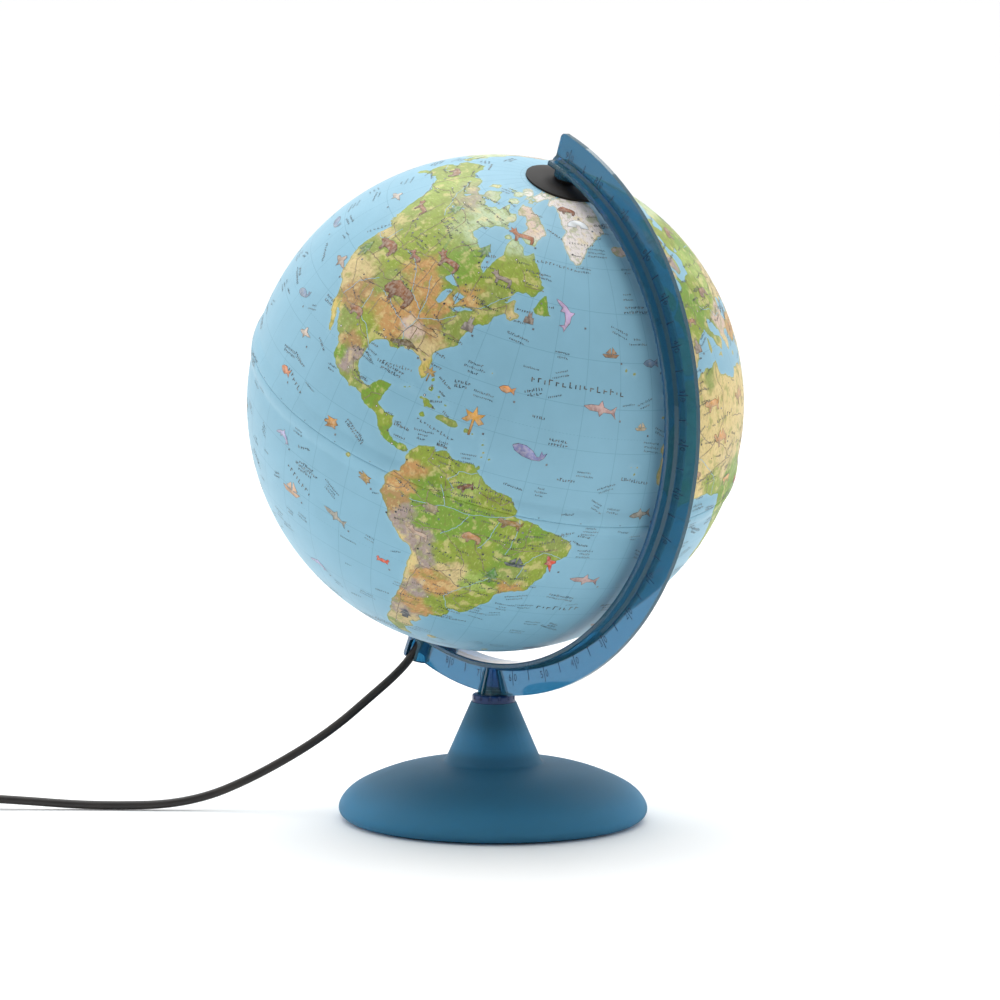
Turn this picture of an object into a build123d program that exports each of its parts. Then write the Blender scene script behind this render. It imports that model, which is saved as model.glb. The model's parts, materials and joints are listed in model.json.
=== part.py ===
"""Desktop globe on a stand: an illuminated globe of 250 mm that spins in a tilted meridian arm.

Millimetres. The origin is the middle of the foot where it stands, +Z is up, and the arm lies in
the XZ plane with the north pole leaning toward +X.
"""

import os
from math import asin, cos, degrees, pi, radians, sin, sqrt, tan

from build123d import *

# Driving dimensions of the globe and its arm
globe_radius = 125.0
globe_wall = 1.4
globe_height = 212.0
axis_tilt = 23.5
equator_rise = 1.4
equator_half_width = 7.3
pole_hole = 12.0

flange_inner = 131.0
flange_thick = 2.8
flange_width = 15.0
web_outer = 147.8
web_thick = 2.5
arm_past_north = 3.9
flange_past_pole = 3.1
arm_end_south = 177.0
guide_radius = 7.5
guide_slot = 5.4
slot_turn = 12.0
pin_radius = 2.5
stem_radius = 4.9
running_fit = 0.05

# Driving dimensions of the foot
foot_radius = 78.3
foot_opening = 72.4
pad_thick = 1.6
cover_thick = 2.5
cone_top = 60.2
cone_top_radius = 11.5
collar_radius = 10.9
arm_foot = globe_height - web_outer - 0.05
stub_radius = 4.55
stub_bottom = 40.5

# Driving dimensions of the cord and what is on it
cord_radius = 2.2
cord_heading = 228.2
lead_side = -18.0
switch_start = 259.0
switch_length = 46.0
switch_width = 21.0
switch_height = 15.0
cord_in_switch = 5.6
coil_turns = 8.5
coil_leaves_early = 15.0
coil_middle = 23.0
coil_section = 3 * 2 * cord_radius
coil_along = 342.0
plug_length = 35.0
pin_length = 19.0
pin_tip = 1.6
tail_length = 31.6

os.makedirs("parts", exist_ok=True)

# Frames that the rest is placed in
centre = Vector(0, 0, globe_height)
north = Vector(sin(radians(axis_tilt)), 0, cos(radians(axis_tilt)))
east = Vector(cos(radians(axis_tilt)), 0, -sin(radians(axis_tilt)))
globe_plane = Plane(origin=centre, x_dir=east, z_dir=north)
arm_axis = Axis(centre, (0, 1, 0))
heading = Vector(cos(radians(cord_heading)), sin(radians(cord_heading)), 0)
lead_plane = Plane(origin=(0, 0, 0), x_dir=heading, z_dir=(0, 0, 1))


def radial_plane(angle):
    """The plane through the arm's centre line that lies `angle` degrees from the north pole."""
    outward = north * cos(radians(angle)) + east * sin(radians(angle))
    return Plane(origin=centre, x_dir=outward, z_dir=outward.cross(Vector(0, 1, 0)))


def at_globe(height):
    """The plane square to the globe's axis, `height` above its equator."""
    return globe_plane.offset(height)


def sphere_height(radius, distance):
    """How high a sphere's surface is at a distance from its axis."""
    return sqrt(radius**2 - distance**2)


# ---------------------------------------------------------------- foot

dome_top = 29.3
cone_foot_radius = 24.8

with BuildPart() as base_shell:
    with BuildSketch(Plane.XZ) as shell_profile:
        with BuildLine():
            Spline((cone_foot_radius, dome_top), (45.3, 26.5), (65.3, 19.4), (75.3, 12.4), (foot_radius, 5.6),
                   (74.6, 1.0))
            Line((74.6, 1.0), (foot_opening, 1.0))
            Line((foot_opening, 1.0), (foot_opening, 4.4))
            Line((foot_opening, 4.4), (75.4, 4.4))
            Spline((75.4, 4.4), (72.9, 10.8), (63.9, 17.2), (44.6, 24.1), (21.8, 27.1))
            Line((21.8, 27.1), (9.4, cone_top - 2.4))
            Line((9.4, cone_top - 2.4), (6.2, cone_top - 2.4))
            Line((6.2, cone_top - 2.4), (6.2, 38.0))
            Line((6.2, 38.0), (stub_radius + running_fit, 38.0))
            Line((stub_radius + running_fit, 38.0), (stub_radius + running_fit, cone_top))
            Line((stub_radius + running_fit, cone_top), (cone_top_radius, cone_top))
            Line((cone_top_radius, cone_top), (cone_foot_radius, dome_top))
        make_face()
    revolve(axis=Axis.Z)
    cone_foot = base_shell.edges().filter_by(GeomType.CIRCLE).filter_by(
        lambda edge: abs(edge.radius - cone_foot_radius) < 0.1)
    fillet(cone_foot, radius=2.0)
base_shell.part.label = "base_shell"
export_step(base_shell.part, "parts/base_shell.step")

with BuildPart() as bottom_cover:
    with BuildSketch(Plane.XY.offset(pad_thick)):
        Circle(foot_opening - running_fit)
    extrude(amount=cover_thick)
    with Locations(Plane.XY.offset(pad_thick)):
        with PolarLocations(45, 3):
            Cylinder(1.5, cover_thick, align=(Align.CENTER, Align.CENTER, Align.MIN), mode=Mode.SUBTRACT)
            Cone(3.1, 1.5, 1.6, align=(Align.CENTER, Align.CENTER, Align.MIN), mode=Mode.SUBTRACT)
bottom_cover.part.label = "bottom_cover"
export_step(bottom_cover.part, "parts/bottom_cover.step")

with BuildPart() as foam_pad:
    with BuildSketch(Plane.XY):
        Circle(foot_opening - 1.2)
    extrude(amount=pad_thick)
foam_pad.part.label = "foam_pad"
export_step(foam_pad.part, "parts/foam_pad.step")

ballast_bottom = pad_thick + cover_thick
with BuildPart() as ballast_plate:
    with BuildSketch(Plane.XY.offset(ballast_bottom)):
        Circle(60)
        Circle(9, mode=Mode.SUBTRACT)
        with PolarLocations(45, 3):
            Circle(1.5, mode=Mode.SUBTRACT)
    extrude(amount=3.5)
    chamfer(ballast_plate.faces().sort_by(Axis.Z)[-1].outer_wire().edges(), 0.5)
ballast_plate.part.label = "ballast_plate"
export_step(ballast_plate.part, "parts/ballast_plate.step")

for number in range(3):
    turn = radians(120 * number)
    with BuildPart() as ballast_screw:
        with BuildSketch(Plane(origin=(45 * cos(turn), 45 * sin(turn), 0), x_dir=(1, 0, 0), z_dir=(0, -1, 0))):
            with BuildLine():
                Polyline((0, pad_thick), (3.1, pad_thick), (1.5, pad_thick + 1.6),
                         (1.5, ballast_bottom + 3.0), (0, ballast_bottom + 3.0), close=True)
            make_face()
        revolve(axis=Axis((45 * cos(turn), 45 * sin(turn), 0), (0, 0, 1)))
    ballast_screw.part.label = f"ballast_screw_{number + 1}"
    export_step(ballast_screw.part, f"parts/ballast_screw_{number + 1}.step")

with BuildPart() as foot_collar:
    with BuildSketch(Plane.XY.offset(cone_top)):
        Circle(collar_radius)
        Circle(stub_radius + running_fit, mode=Mode.SUBTRACT)
    extrude(amount=arm_foot - cone_top)
    fillet(foot_collar.faces().sort_by(Axis.Z)[-1].outer_wire().edges(), 1.2)
    with Locations(Plane.XY.offset(cone_top + 1.6)):
        with PolarLocations(collar_radius + 0.3, 14):
            Cylinder(0.9, 4, align=(Align.CENTER, Align.CENTER, Align.MIN), mode=Mode.SUBTRACT)
foot_collar.part.label = "foot_collar"
export_step(foot_collar.part, "parts/foot_collar.step")

with BuildPart() as arm_washer:
    with BuildSketch(Plane.XY.offset(36.8)):
        Circle(6.0)
        Circle(1.6, mode=Mode.SUBTRACT)
    extrude(amount=1.2)
arm_washer.part.label = "arm_washer"
export_step(arm_washer.part, "parts/arm_washer.step")

with BuildPart() as arm_screw:
    with BuildSketch(Plane.XY.offset(34.4)):
        Circle(3.2)
    extrude(amount=2.4)
    fillet(arm_screw.faces().sort_by(Axis.Z)[0].edges(), 1.0)
    with BuildSketch(Plane.XY.offset(36.8)):
        Circle(1.5)
    extrude(amount=16)
    with Locations(Plane.XY.offset(34.4)):
        Box(3.6, 0.8, 1.2, align=(Align.CENTER, Align.CENTER, Align.MIN), mode=Mode.SUBTRACT)
        Box(0.8, 3.6, 1.2, align=(Align.CENTER, Align.CENTER, Align.MIN), mode=Mode.SUBTRACT)
arm_screw.part.label = "arm_screw"
export_step(arm_screw.part, "parts/arm_screw.step")

# ---------------------------------------------------------------- meridian arm

flange_outer = flange_inner + flange_thick
boss_face = globe_radius + 2.6
seat_face = globe_radius + 3.2

with BuildPart() as meridian_arm:
    # The flat strip that follows the globe
    with BuildSketch(radial_plane(-flange_past_pole)):
        with Locations((flange_inner + flange_thick / 2, 0)):
            RectangleRounded(flange_thick, flange_width, 0.9)
    revolve(axis=arm_axis, revolution_arc=180 + 2 * flange_past_pole)
    # The thin web that stands on it and carries the latitude scale
    with BuildSketch(radial_plane(-arm_past_north)):
        with BuildLine():
            Polyline((flange_inner + 1.4, 3.0), (flange_outer, 2.7), (flange_outer + 1.5, web_thick / 2),
                     (web_outer, web_thick / 2), (web_outer, -web_thick / 2),
                     (flange_outer + 1.5, -web_thick / 2), (flange_outer, -2.7),
                     (flange_inner + 1.4, -3.0), close=True)
        make_face()
    revolve(axis=arm_axis, revolution_arc=arm_past_north + arm_end_south)
    # North boss with a blind hole, south guide tube that the cord comes out of
    with BuildSketch(at_globe(boss_face)):
        Circle(6.0)
    extrude(amount=flange_outer - 1 - boss_face)
    with BuildSketch(at_globe(boss_face)):
        Circle(pin_radius)
    extrude(amount=flange_outer - 1.4 - boss_face, mode=Mode.SUBTRACT)
    with BuildSketch(at_globe(-web_outer)):
        Circle(guide_radius)
    extrude(amount=web_outer - seat_face)
    with BuildSketch(at_globe(-web_outer - 1)):
        Circle(stem_radius + 0.02)
    extrude(amount=web_outer + 1 - seat_face, mode=Mode.SUBTRACT)
    slot_plane = Plane(origin=centre - north * web_outer, x_dir=north,
                       z_dir=east * sin(radians(slot_turn)) - Vector(0, cos(radians(slot_turn)), 0))
    with BuildSketch(slot_plane):
        with Locations((-1, 0)):
            SlotCenterToCenter(2 * 9.5, guide_slot)
    extrude(amount=guide_radius + 1, mode=Mode.SUBTRACT)
    # Ribbed cone under the arm, and the stub that plugs into the foot
    with BuildSketch(Plane.XZ):
        with BuildLine():
            Polyline((0, stub_bottom), (stub_radius, stub_bottom), (stub_radius, arm_foot), (7.1, arm_foot),
                     (6.6, arm_foot + 1.2), (2.9, globe_height - flange_outer + 1), (0, globe_height - flange_outer + 1),
                     close=True)
        make_face()
    revolve(axis=Axis.Z)
    for angle in (55, 90, 125, 235, 270, 305):
        with BuildSketch(Plane(origin=(0, 0, 0), x_dir=(cos(radians(angle)), sin(radians(angle)), 0),
                               z_dir=(sin(radians(angle)), -cos(radians(angle)), 0))):
            with BuildLine():
                Polyline((1.5, arm_foot), (8.2, arm_foot), (8.2, arm_foot + 1), (4.2, globe_height - flange_outer + 1),
                         (1.5, globe_height - flange_outer + 1), close=True)
            make_face()
        extrude(amount=0.5, both=True)
    with BuildSketch(Plane.XY.offset(stub_bottom)):
        Circle(1.5)
    extrude(amount=14, mode=Mode.SUBTRACT)
    tips = meridian_arm.edges().filter_by(Axis.Y).filter_by(lambda edge: edge.length > 2.4)
    fillet(tips.sort_by_distance(centre + north * 200 - east * 20)[0:1], 2.8)
meridian_arm.part.label = "meridian_arm"
export_step(meridian_arm.part, "parts/meridian_arm.step")

# ---------------------------------------------------------------- globe shells and poles

with BuildPart() as north_hemisphere:
    with BuildSketch(Plane(origin=centre, x_dir=east, z_dir=Vector(0, -1, 0))):
        with BuildLine():
            outer_start = (sphere_height(globe_radius, equator_half_width), equator_half_width)
            outer_end = (pole_hole, sphere_height(globe_radius, pole_hole))
            inner_radius = globe_radius - globe_wall
            RadiusArc(outer_start, outer_end, -globe_radius)
            Line(outer_end, (pole_hole, sphere_height(inner_radius, pole_hole)))
            RadiusArc((pole_hole, sphere_height(inner_radius, pole_hole)), (inner_radius, 0.02), inner_radius)
            Line((inner_radius, 0.02), (globe_radius + equator_rise - 0.3, 0.02))
            Line((globe_radius + equator_rise - 0.3, 0.02), (globe_radius + equator_rise, 0.35))
            ThreePointArc((globe_radius + equator_rise, 0.35), (globe_radius + 0.95, 4.3), outer_start)
        make_face()
    revolve(axis=Axis(centre, north))
north_hemisphere.part.label = "north_hemisphere"
export_step(north_hemisphere.part, "parts/north_hemisphere.step")

with BuildPart() as south_hemisphere:
    mirror(north_hemisphere.part, about=globe_plane)
south_hemisphere.part.label = "south_hemisphere"
export_step(south_hemisphere.part, "parts/south_hemisphere.step")

with BuildPart() as equator_ring:
    with BuildSketch(at_globe(-6)):
        Circle(inner_radius - 0.12)
        Circle(inner_radius - 2.0, mode=Mode.SUBTRACT)
    extrude(amount=12)
equator_ring.part.label = "equator_ring"
export_step(equator_ring.part, "parts/equator_ring.step")

cap_radius = 19.3
cap_top = globe_radius + 1.3
with BuildPart() as north_cap:
    with BuildSketch(Plane(origin=centre, x_dir=east, z_dir=Vector(0, -1, 0))):
        seat = globe_radius + 0.03
        with BuildLine():
            RadiusArc((pole_hole - running_fit, sphere_height(seat, pole_hole)),
                      (cap_radius, sphere_height(seat, cap_radius)), seat)
            Line((cap_radius, sphere_height(seat, cap_radius)), (cap_radius, sphere_height(seat, cap_radius) + 1.0))
            ThreePointArc((cap_radius, sphere_height(seat, cap_radius) + 1.0), (14.5, cap_top - 0.5), (8, cap_top))
            Line((8, cap_top), (pin_radius + running_fit, cap_top))
            Line((pin_radius + running_fit, cap_top), (pin_radius + running_fit, 117))
            Line((pin_radius + running_fit, 117), (6, 117))
            Line((6, 117), (6, 121))
            Line((6, 121), (pole_hole - running_fit, 121))
            Line((pole_hole - running_fit, 121), (pole_hole - running_fit, sphere_height(seat, pole_hole)))
        make_face()
    revolve(axis=Axis(centre, north))
north_cap.part.label = "north_cap"
export_step(north_cap.part, "parts/north_cap.step")

with BuildPart() as north_pin:
    with BuildSketch(at_globe(114)):
        Circle(pin_radius)
    extrude(amount=flange_outer - 1.4 - 114)
    chamfer(north_pin.faces().sort_by(Axis.Z)[0].edges(), 0.6)
north_pin.part.label = "north_pin"
export_step(north_pin.part, "parts/north_pin.step")

with BuildPart() as north_washer:
    with BuildSketch(at_globe(cap_top + running_fit)):
        Circle(5.2)
        Circle(pin_radius, mode=Mode.SUBTRACT)
    extrude(amount=boss_face - cap_top - running_fit)
north_washer.part.label = "north_washer"
export_step(north_washer.part, "parts/north_washer.step")

bush_face = globe_radius + 1.6
with BuildPart() as south_bush:
    with BuildSketch(Plane(origin=centre, x_dir=east, z_dir=Vector(0, -1, 0))):
        with BuildLine():
            RadiusArc((pole_hole - running_fit, -sphere_height(seat, pole_hole)),
                      (16, -sphere_height(seat, 16)), -seat)
            Line((16, -sphere_height(seat, 16)), (16, -bush_face + 0.8))
            Line((16, -bush_face + 0.8), (15.2, -bush_face))
            Line((15.2, -bush_face), (stem_radius + running_fit, -bush_face))
            Line((stem_radius + running_fit, -bush_face), (stem_radius + running_fit, -114))
            Line((stem_radius + running_fit, -114), (8, -114))
            Line((8, -114), (8, -121))
            Line((8, -121), (pole_hole - running_fit, -121))
            Line((pole_hole - running_fit, -121), (pole_hole - running_fit, -sphere_height(seat, pole_hole)))
        make_face()
    revolve(axis=Axis(centre, north))
south_bush.part.label = "south_bush"
export_step(south_bush.part, "parts/south_bush.step")

with BuildPart() as south_washer:
    with BuildSketch(at_globe(-seat_face)):
        Circle(guide_radius)
        Circle(stem_radius, mode=Mode.SUBTRACT)
    extrude(amount=seat_face - bush_face - running_fit)
south_washer.part.label = "south_washer"
export_step(south_washer.part, "parts/south_washer.step")

# ---------------------------------------------------------------- lamp inside the globe

stem_bottom = -134.0
stem_top = -96.0
with BuildPart() as lamp_stem:
    with BuildSketch(at_globe(stem_bottom)):
        Circle(stem_radius)
        Circle(3.3, mode=Mode.SUBTRACT)
    extrude(amount=stem_top - stem_bottom)
lamp_stem.part.label = "lamp_stem"
export_step(lamp_stem.part, "parts/lamp_stem.step")

with BuildPart() as stem_nut:
    with BuildSketch(at_globe(-104)):
        RegularPolygon(radius=8.2, side_count=6)
        Circle(stem_radius, mode=Mode.SUBTRACT)
    extrude(amount=3)
stem_nut.part.label = "stem_nut"
export_step(stem_nut.part, "parts/stem_nut.step")

with BuildPart() as lamp_holder_dome:
    with BuildSketch(Plane(origin=centre, x_dir=east, z_dir=Vector(0, -1, 0))):
        with BuildLine():
            Polyline((stem_radius, -101), (8.5, -101), (13.2, -94), (13.2, -84), (11.6, -84), (11.6, -93),
                     (8, -98.6), (stem_radius, -98.6), close=True)
        make_face()
    revolve(axis=Axis(centre, north))
lamp_holder_dome.part.label = "lamp_holder_dome"
export_step(lamp_holder_dome.part, "parts/lamp_holder_dome.step")

with BuildPart() as lamp_holder_skirt:
    with BuildSketch(at_globe(-84)):
        Circle(13.2)
        Circle(8.2, mode=Mode.SUBTRACT)
    extrude(amount=25)
    with BuildSketch(at_globe(-63)):
        Circle(14.4)
        Circle(13.2 - 0.01, mode=Mode.SUBTRACT)
    extrude(amount=4)
lamp_holder_skirt.part.label = "lamp_holder_skirt"
export_step(lamp_holder_skirt.part, "parts/lamp_holder_skirt.step")

with BuildPart() as holder_contacts:
    with BuildSketch(at_globe(-84)):
        Circle(8.2)
    extrude(amount=1.5)
    with BuildSketch(at_globe(-82.5)):
        Circle(8.2)
        Circle(7.0, mode=Mode.SUBTRACT)
    extrude(amount=22)
holder_contacts.part.label = "holder_contacts"
export_step(holder_contacts.part, "parts/holder_contacts.step")

with BuildPart() as bulb_cap:
    with BuildSketch(Plane(origin=centre, x_dir=east, z_dir=Vector(0, -1, 0))):
        with BuildLine():
            Polyline((0, -82.5), (2.4, -82.5), (2.6, -81), (6.2, -78.5), (7.0, -77.5), (7.0, -58), (0, -58),
                     close=True)
        make_face()
    revolve(axis=Axis(centre, north))
bulb_cap.part.label = "bulb_cap"
export_step(bulb_cap.part, "parts/bulb_cap.step")

bulb_radius = 22.5
bulb_centre = -24.0
with BuildPart() as bulb_glass:
    with BuildSketch(Plane(origin=centre, x_dir=east, z_dir=Vector(0, -1, 0))):
        with BuildLine():
            Line((0, -58), (6.8, -58))
            Line((6.8, -58), (7.0, -53))
            Spline((7.0, -53), (11.5, -44.5), (bulb_radius * 0.8, bulb_centre - bulb_radius * 0.6),
                   tangents=((0.1, 1), (0.6, 0.8)))
            ThreePointArc((bulb_radius * 0.8, bulb_centre - bulb_radius * 0.6),
                          (bulb_radius * cos(radians(30)), bulb_centre + bulb_radius * sin(radians(30))),
                          (0, bulb_centre + bulb_radius))
            Line((0, bulb_centre + bulb_radius), (0, -58))
        make_face()
    revolve(axis=Axis(centre, north))
bulb_glass.part.label = "bulb_glass"
export_step(bulb_glass.part, "parts/bulb_glass.step")

with BuildPart() as cord_gland:
    with BuildSketch(at_globe(stem_bottom)):
        Circle(3.3)
        Circle(cord_radius, mode=Mode.SUBTRACT)
    extrude(amount=8)
cord_gland.part.label = "cord_gland"
export_step(cord_gland.part, "parts/cord_gland.step")

# ---------------------------------------------------------------- cord, switch and plug
# Each point is the distance along the cord's heading, the distance to its side, and the height.

lead_route = [
    (33.5, -37.5, 96.4),
    (35.7, -39.8, 88.9),
    (39.8, -40.6, 80.6),
    (45.2, -39.0, 72.8),
    (52.8, -34.6, 65.6),
    (63.8, -31.0, 56.4),
    (77.6, -27.6, 44.6),
    (92.2, -24.8, 34.2),
    (108.2, -22.4, 24.6),
    (126.0, -20.6, 15.2),
    (145.0, -19.0, 7.2),
    (166.0, -18.0, 2.9),
    (189.0, -17.6, 2.3),
    (212.0, -17.9, 2.5),
    (236.0, -18.0, 4.2),
    (switch_start, -18.0, cord_in_switch),
]


def fillet_radii(points):
    """One radius for each corner: 0.45 of the shorter run over the tangent of half the turn."""
    radii = []
    for before, corner, after in zip(points, points[1:], points[2:]):
        run_in = corner - before
        run_out = after - corner
        half_turn = radians(run_in.get_angle(run_out)) / 2
        radii.append(0.45 * min(run_in.length, run_out.length) / tan(half_turn))
    return radii


lead_points = [lead_plane.from_local_coords(Vector(*point)) for point in lead_route]
lead_radii = fillet_radii(lead_points)
with BuildPart() as cord_lead:
    with BuildLine() as lead_path:
        FilletPolyline(*lead_points, radius=lead_radii)
    with BuildSketch(Plane(origin=lead_path.line @ 0, z_dir=lead_path.line % 0)):
        Circle(cord_radius)
    sweep()
cord_lead.part.label = "cord_lead"
export_step(cord_lead.part, "parts/cord_lead.step")

switch_end = switch_start + switch_length
coil_side = lead_side + coil_middle + 2 * cord_radius
mid_points = [lead_plane.from_local_coords(Vector(*point)) for point in (
    (switch_end, lead_side, cord_in_switch),
    (switch_end + 13, lead_side - 0.2, 4.4),
    (switch_end + 25, lead_side - 0.2, 2.7),
    (coil_along, lead_side, cord_radius),
)]
mid_radii = fillet_radii(mid_points)
with BuildPart() as cord_to_coil:
    with BuildLine() as mid_path:
        FilletPolyline(*mid_points, radius=mid_radii)
    with BuildSketch(Plane(origin=mid_path.line @ 0, z_dir=mid_path.line % 0)):
        Circle(cord_radius)
    sweep()
cord_to_coil.part.label = "cord_to_coil"
export_step(cord_to_coil.part, "parts/cord_to_coil.step")

with BuildPart() as cord_coil:
    with BuildSketch(lead_plane):
        with Locations((coil_along, coil_side)):
            Circle(coil_middle + coil_section / 2)
            Circle(coil_middle - coil_section / 2, mode=Mode.SUBTRACT)
    extrude(amount=coil_section)
    fillet(cord_coil.edges().filter_by(GeomType.CIRCLE), cord_radius - 0.1)
cord_coil.part.label = "cord_coil"
export_step(cord_coil.part, "parts/cord_coil.step")

with BuildPart() as cord_tie:
    tie_plane = Plane(origin=lead_plane.from_local_coords(Vector(coil_along + coil_middle, coil_side,
                                                                  coil_section / 2)),
                      x_dir=heading, z_dir=lead_plane.y_dir)
    with BuildSketch(tie_plane):
        RectangleRounded(coil_section + 1.8, coil_section, 2.5)
        RectangleRounded(coil_section + 0.2, coil_section - 1.8, 2.0, mode=Mode.SUBTRACT)
    extrude(amount=4.5, both=True)
cord_tie.part.label = "cord_tie"
export_step(cord_tie.part, "parts/cord_tie.step")

# The tail leaves the coil a little before its side, so the plug points clear of the foot
tail_turn = radians(90 - coil_leaves_early)
tail_heading = Vector(-sin(tail_turn), cos(tail_turn), 0)
coil_outer = coil_middle + 2 * cord_radius
tail_start = Vector(coil_along + coil_outer * cos(tail_turn), coil_side + coil_outer * sin(tail_turn),
                    coil_section - cord_radius)
plug_axis = 7.0
plug_entry = tail_start + tail_heading * tail_length
plug_entry.Z = plug_axis
tail_points = [lead_plane.from_local_coords(point) for point in (
    tail_start,
    tail_start + tail_heading * 13 - Vector(0, 0, 1.0),
    plug_entry,
)]
tail_radii = fillet_radii(tail_points)
with BuildPart() as cord_tail:
    with BuildLine() as tail_path:
        FilletPolyline(*tail_points, radius=tail_radii)
    with BuildSketch(Plane(origin=tail_path.line @ 0, z_dir=tail_path.line % 0)):
        Circle(cord_radius)
    sweep()
cord_tail.part.label = "cord_tail"
export_step(cord_tail.part, "parts/cord_tail.step")

# Two-pin plug: it points back past the foot, pins first
plug_heading = heading * tail_heading.X + lead_plane.y_dir * tail_heading.Y
plug_frame = Plane(origin=lead_plane.from_local_coords(plug_entry),
                   x_dir=plug_heading.cross(Vector(0, 0, 1)) * -1, z_dir=plug_heading)
with BuildPart() as plug_body:
    with BuildSketch(plug_frame):
        Circle(cord_radius + 0.9)
    with BuildSketch(plug_frame.offset(9)):
        RectangleRounded(11, 10, 4)
    loft()
    with BuildSketch(plug_frame.offset(9)):
        RectangleRounded(11, 10, 4)
    with BuildSketch(plug_frame.offset(18)):
        RectangleRounded(25, 13.6, 5)
    loft()
    with BuildSketch(plug_frame.offset(18)):
        RectangleRounded(25, 13.6, 5)
    with BuildSketch(plug_frame.offset(plug_length - 1)):
        RectangleRounded(35, 13.6, 5)
    loft()
    with BuildSketch(plug_frame.offset(plug_length - 1)):
        RectangleRounded(35, 13.6, 5)
    extrude(amount=1)
plug_body.part.label = "plug_body"
export_step(plug_body.part, "parts/plug_body.step")

for name, offset_side in (("plug_pin_1", -9.3), ("plug_pin_2", 9.3)):
    with BuildPart() as plug_pin:
        with BuildSketch(plug_frame.offset(plug_length)):
            with Locations((offset_side, 0)):
                Circle(2.0)
        extrude(amount=pin_length)
        fillet(plug_pin.faces().sort_by(Axis((0, 0, 0), plug_heading))[-1].edges(), pin_tip)
    plug_pin.part.label = name
    export_step(plug_pin.part, f"parts/{name}.step")

# Rocker switch on the cord
switch_frame = Plane(origin=lead_plane.from_local_coords(Vector(switch_start + switch_length / 2, lead_side, 0)),
                     x_dir=heading, z_dir=(0, 0, 1))
switch_split = cord_in_switch
switch_wall = 1.6
rocker_length = 16.0
rocker_width = 9.0
rocker_axis = 11.2
rocker_tilt = 8.0

with BuildPart() as switch_base:
    with BuildSketch(switch_frame):
        RectangleRounded(switch_length, switch_width, 7)
    extrude(amount=switch_split)
    fillet(switch_base.faces().sort_by(Axis.Z)[0].edges(), 2.0)
    with BuildSketch(switch_frame.offset(switch_wall)):
        RectangleRounded(switch_length - 2 * switch_wall, switch_width - 2 * switch_wall, 5.4)
    extrude(amount=switch_split, mode=Mode.SUBTRACT)
    with BuildSketch(switch_frame.offset(switch_wall - 0.2)):
        with Locations((-17.5, 0), (17.5, 0)):
            Circle(2.6)
    extrude(amount=switch_split - switch_wall - 2.6)
    with BuildSketch(switch_frame):
        with Locations((-17.5, 0), (17.5, 0)):
            Circle(1.25)
    extrude(amount=switch_split, mode=Mode.SUBTRACT)
    with BuildSketch(switch_frame):
        with Locations((-17.5, 0), (17.5, 0)):
            Circle(2.1)
    extrude(amount=1.2, mode=Mode.SUBTRACT)
    with BuildSketch(Plane(origin=switch_frame.from_local_coords(Vector(-switch_length / 2, 0, cord_in_switch)),
                           z_dir=heading)):
        Circle(cord_radius)
    extrude(amount=switch_length, mode=Mode.SUBTRACT)
switch_base.part.label = "switch_base"
export_step(switch_base.part, "parts/switch_base.step")

with BuildPart() as switch_cover:
    with BuildSketch(switch_frame.offset(switch_split)):
        RectangleRounded(switch_length, switch_width, 7)
    extrude(amount=switch_height - 2.6 - switch_split)
    fillet(switch_cover.faces().sort_by(Axis.Z)[-1].edges(), 2.0)
    with BuildSketch(switch_frame.offset(switch_height - 2.7)):
        RectangleRounded(rocker_length + 5, rocker_width + 4, 2)
    extrude(amount=1.2)
    with BuildSketch(switch_frame.offset(switch_split)):
        RectangleRounded(switch_length - 2 * switch_wall, switch_width - 2 * switch_wall, 5.4)
    extrude(amount=switch_height - 2.6 - switch_split - switch_wall, mode=Mode.SUBTRACT)
    with BuildSketch(switch_frame.offset(switch_split)):
        with Locations((-17.5, 0), (17.5, 0)):
            Circle(2.6)
            Circle(1.25, mode=Mode.SUBTRACT)
    extrude(amount=switch_height - 3.6 - switch_split)
    with BuildSketch(switch_frame.offset(switch_split)):
        with Locations((0, rocker_width / 2 + 1.6), (0, -rocker_width / 2 - 1.6)):
            Rectangle(5, 1.6)
    extrude(amount=switch_height - 3.6 - switch_split)
    with BuildSketch(switch_frame.offset(switch_split)):
        Rectangle(rocker_length + 1.2, rocker_width + 0.6)
    extrude(amount=switch_height, mode=Mode.SUBTRACT)
    with BuildSketch(Plane(origin=switch_frame.from_local_coords(Vector(0, 0, rocker_axis)),
                           z_dir=switch_frame.y_dir)):
        Circle(1.0 + running_fit)
    extrude(amount=rocker_width / 2 + 2.0, both=True, mode=Mode.SUBTRACT)
    with BuildSketch(Plane(origin=switch_frame.from_local_coords(Vector(-switch_length / 2, 0, cord_in_switch)),
                           z_dir=heading)):
        Circle(cord_radius)
    extrude(amount=switch_length, mode=Mode.SUBTRACT)
switch_cover.part.label = "switch_cover"
export_step(switch_cover.part, "parts/switch_cover.step")

rocker_frame = Plane(origin=switch_frame.from_local_coords(Vector(0, 0, rocker_axis)),
                     x_dir=heading * cos(radians(rocker_tilt)) + Vector(0, 0, sin(radians(rocker_tilt))),
                     z_dir=switch_frame.y_dir * -1)
with BuildPart() as switch_rocker:
    with BuildSketch(rocker_frame):
        with BuildLine():
            Polyline((-7.6, -1.4), (-3.0, -4.2), (3.0, -4.2), (7.6, -1.4), (7.6, 2.9))
            ThreePointArc((7.6, 2.9), (0, 1.9), (-7.6, 2.9))
            Line((-7.6, 2.9), (-7.6, -1.4))
        make_face()
    extrude(amount=rocker_width / 2, both=True)
    with BuildSketch(rocker_frame):
        Circle(1.0)
    extrude(amount=rocker_width / 2 + 1.8, both=True)
switch_rocker.part.label = "switch_rocker"
export_step(switch_rocker.part, "parts/switch_rocker.step")

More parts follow.
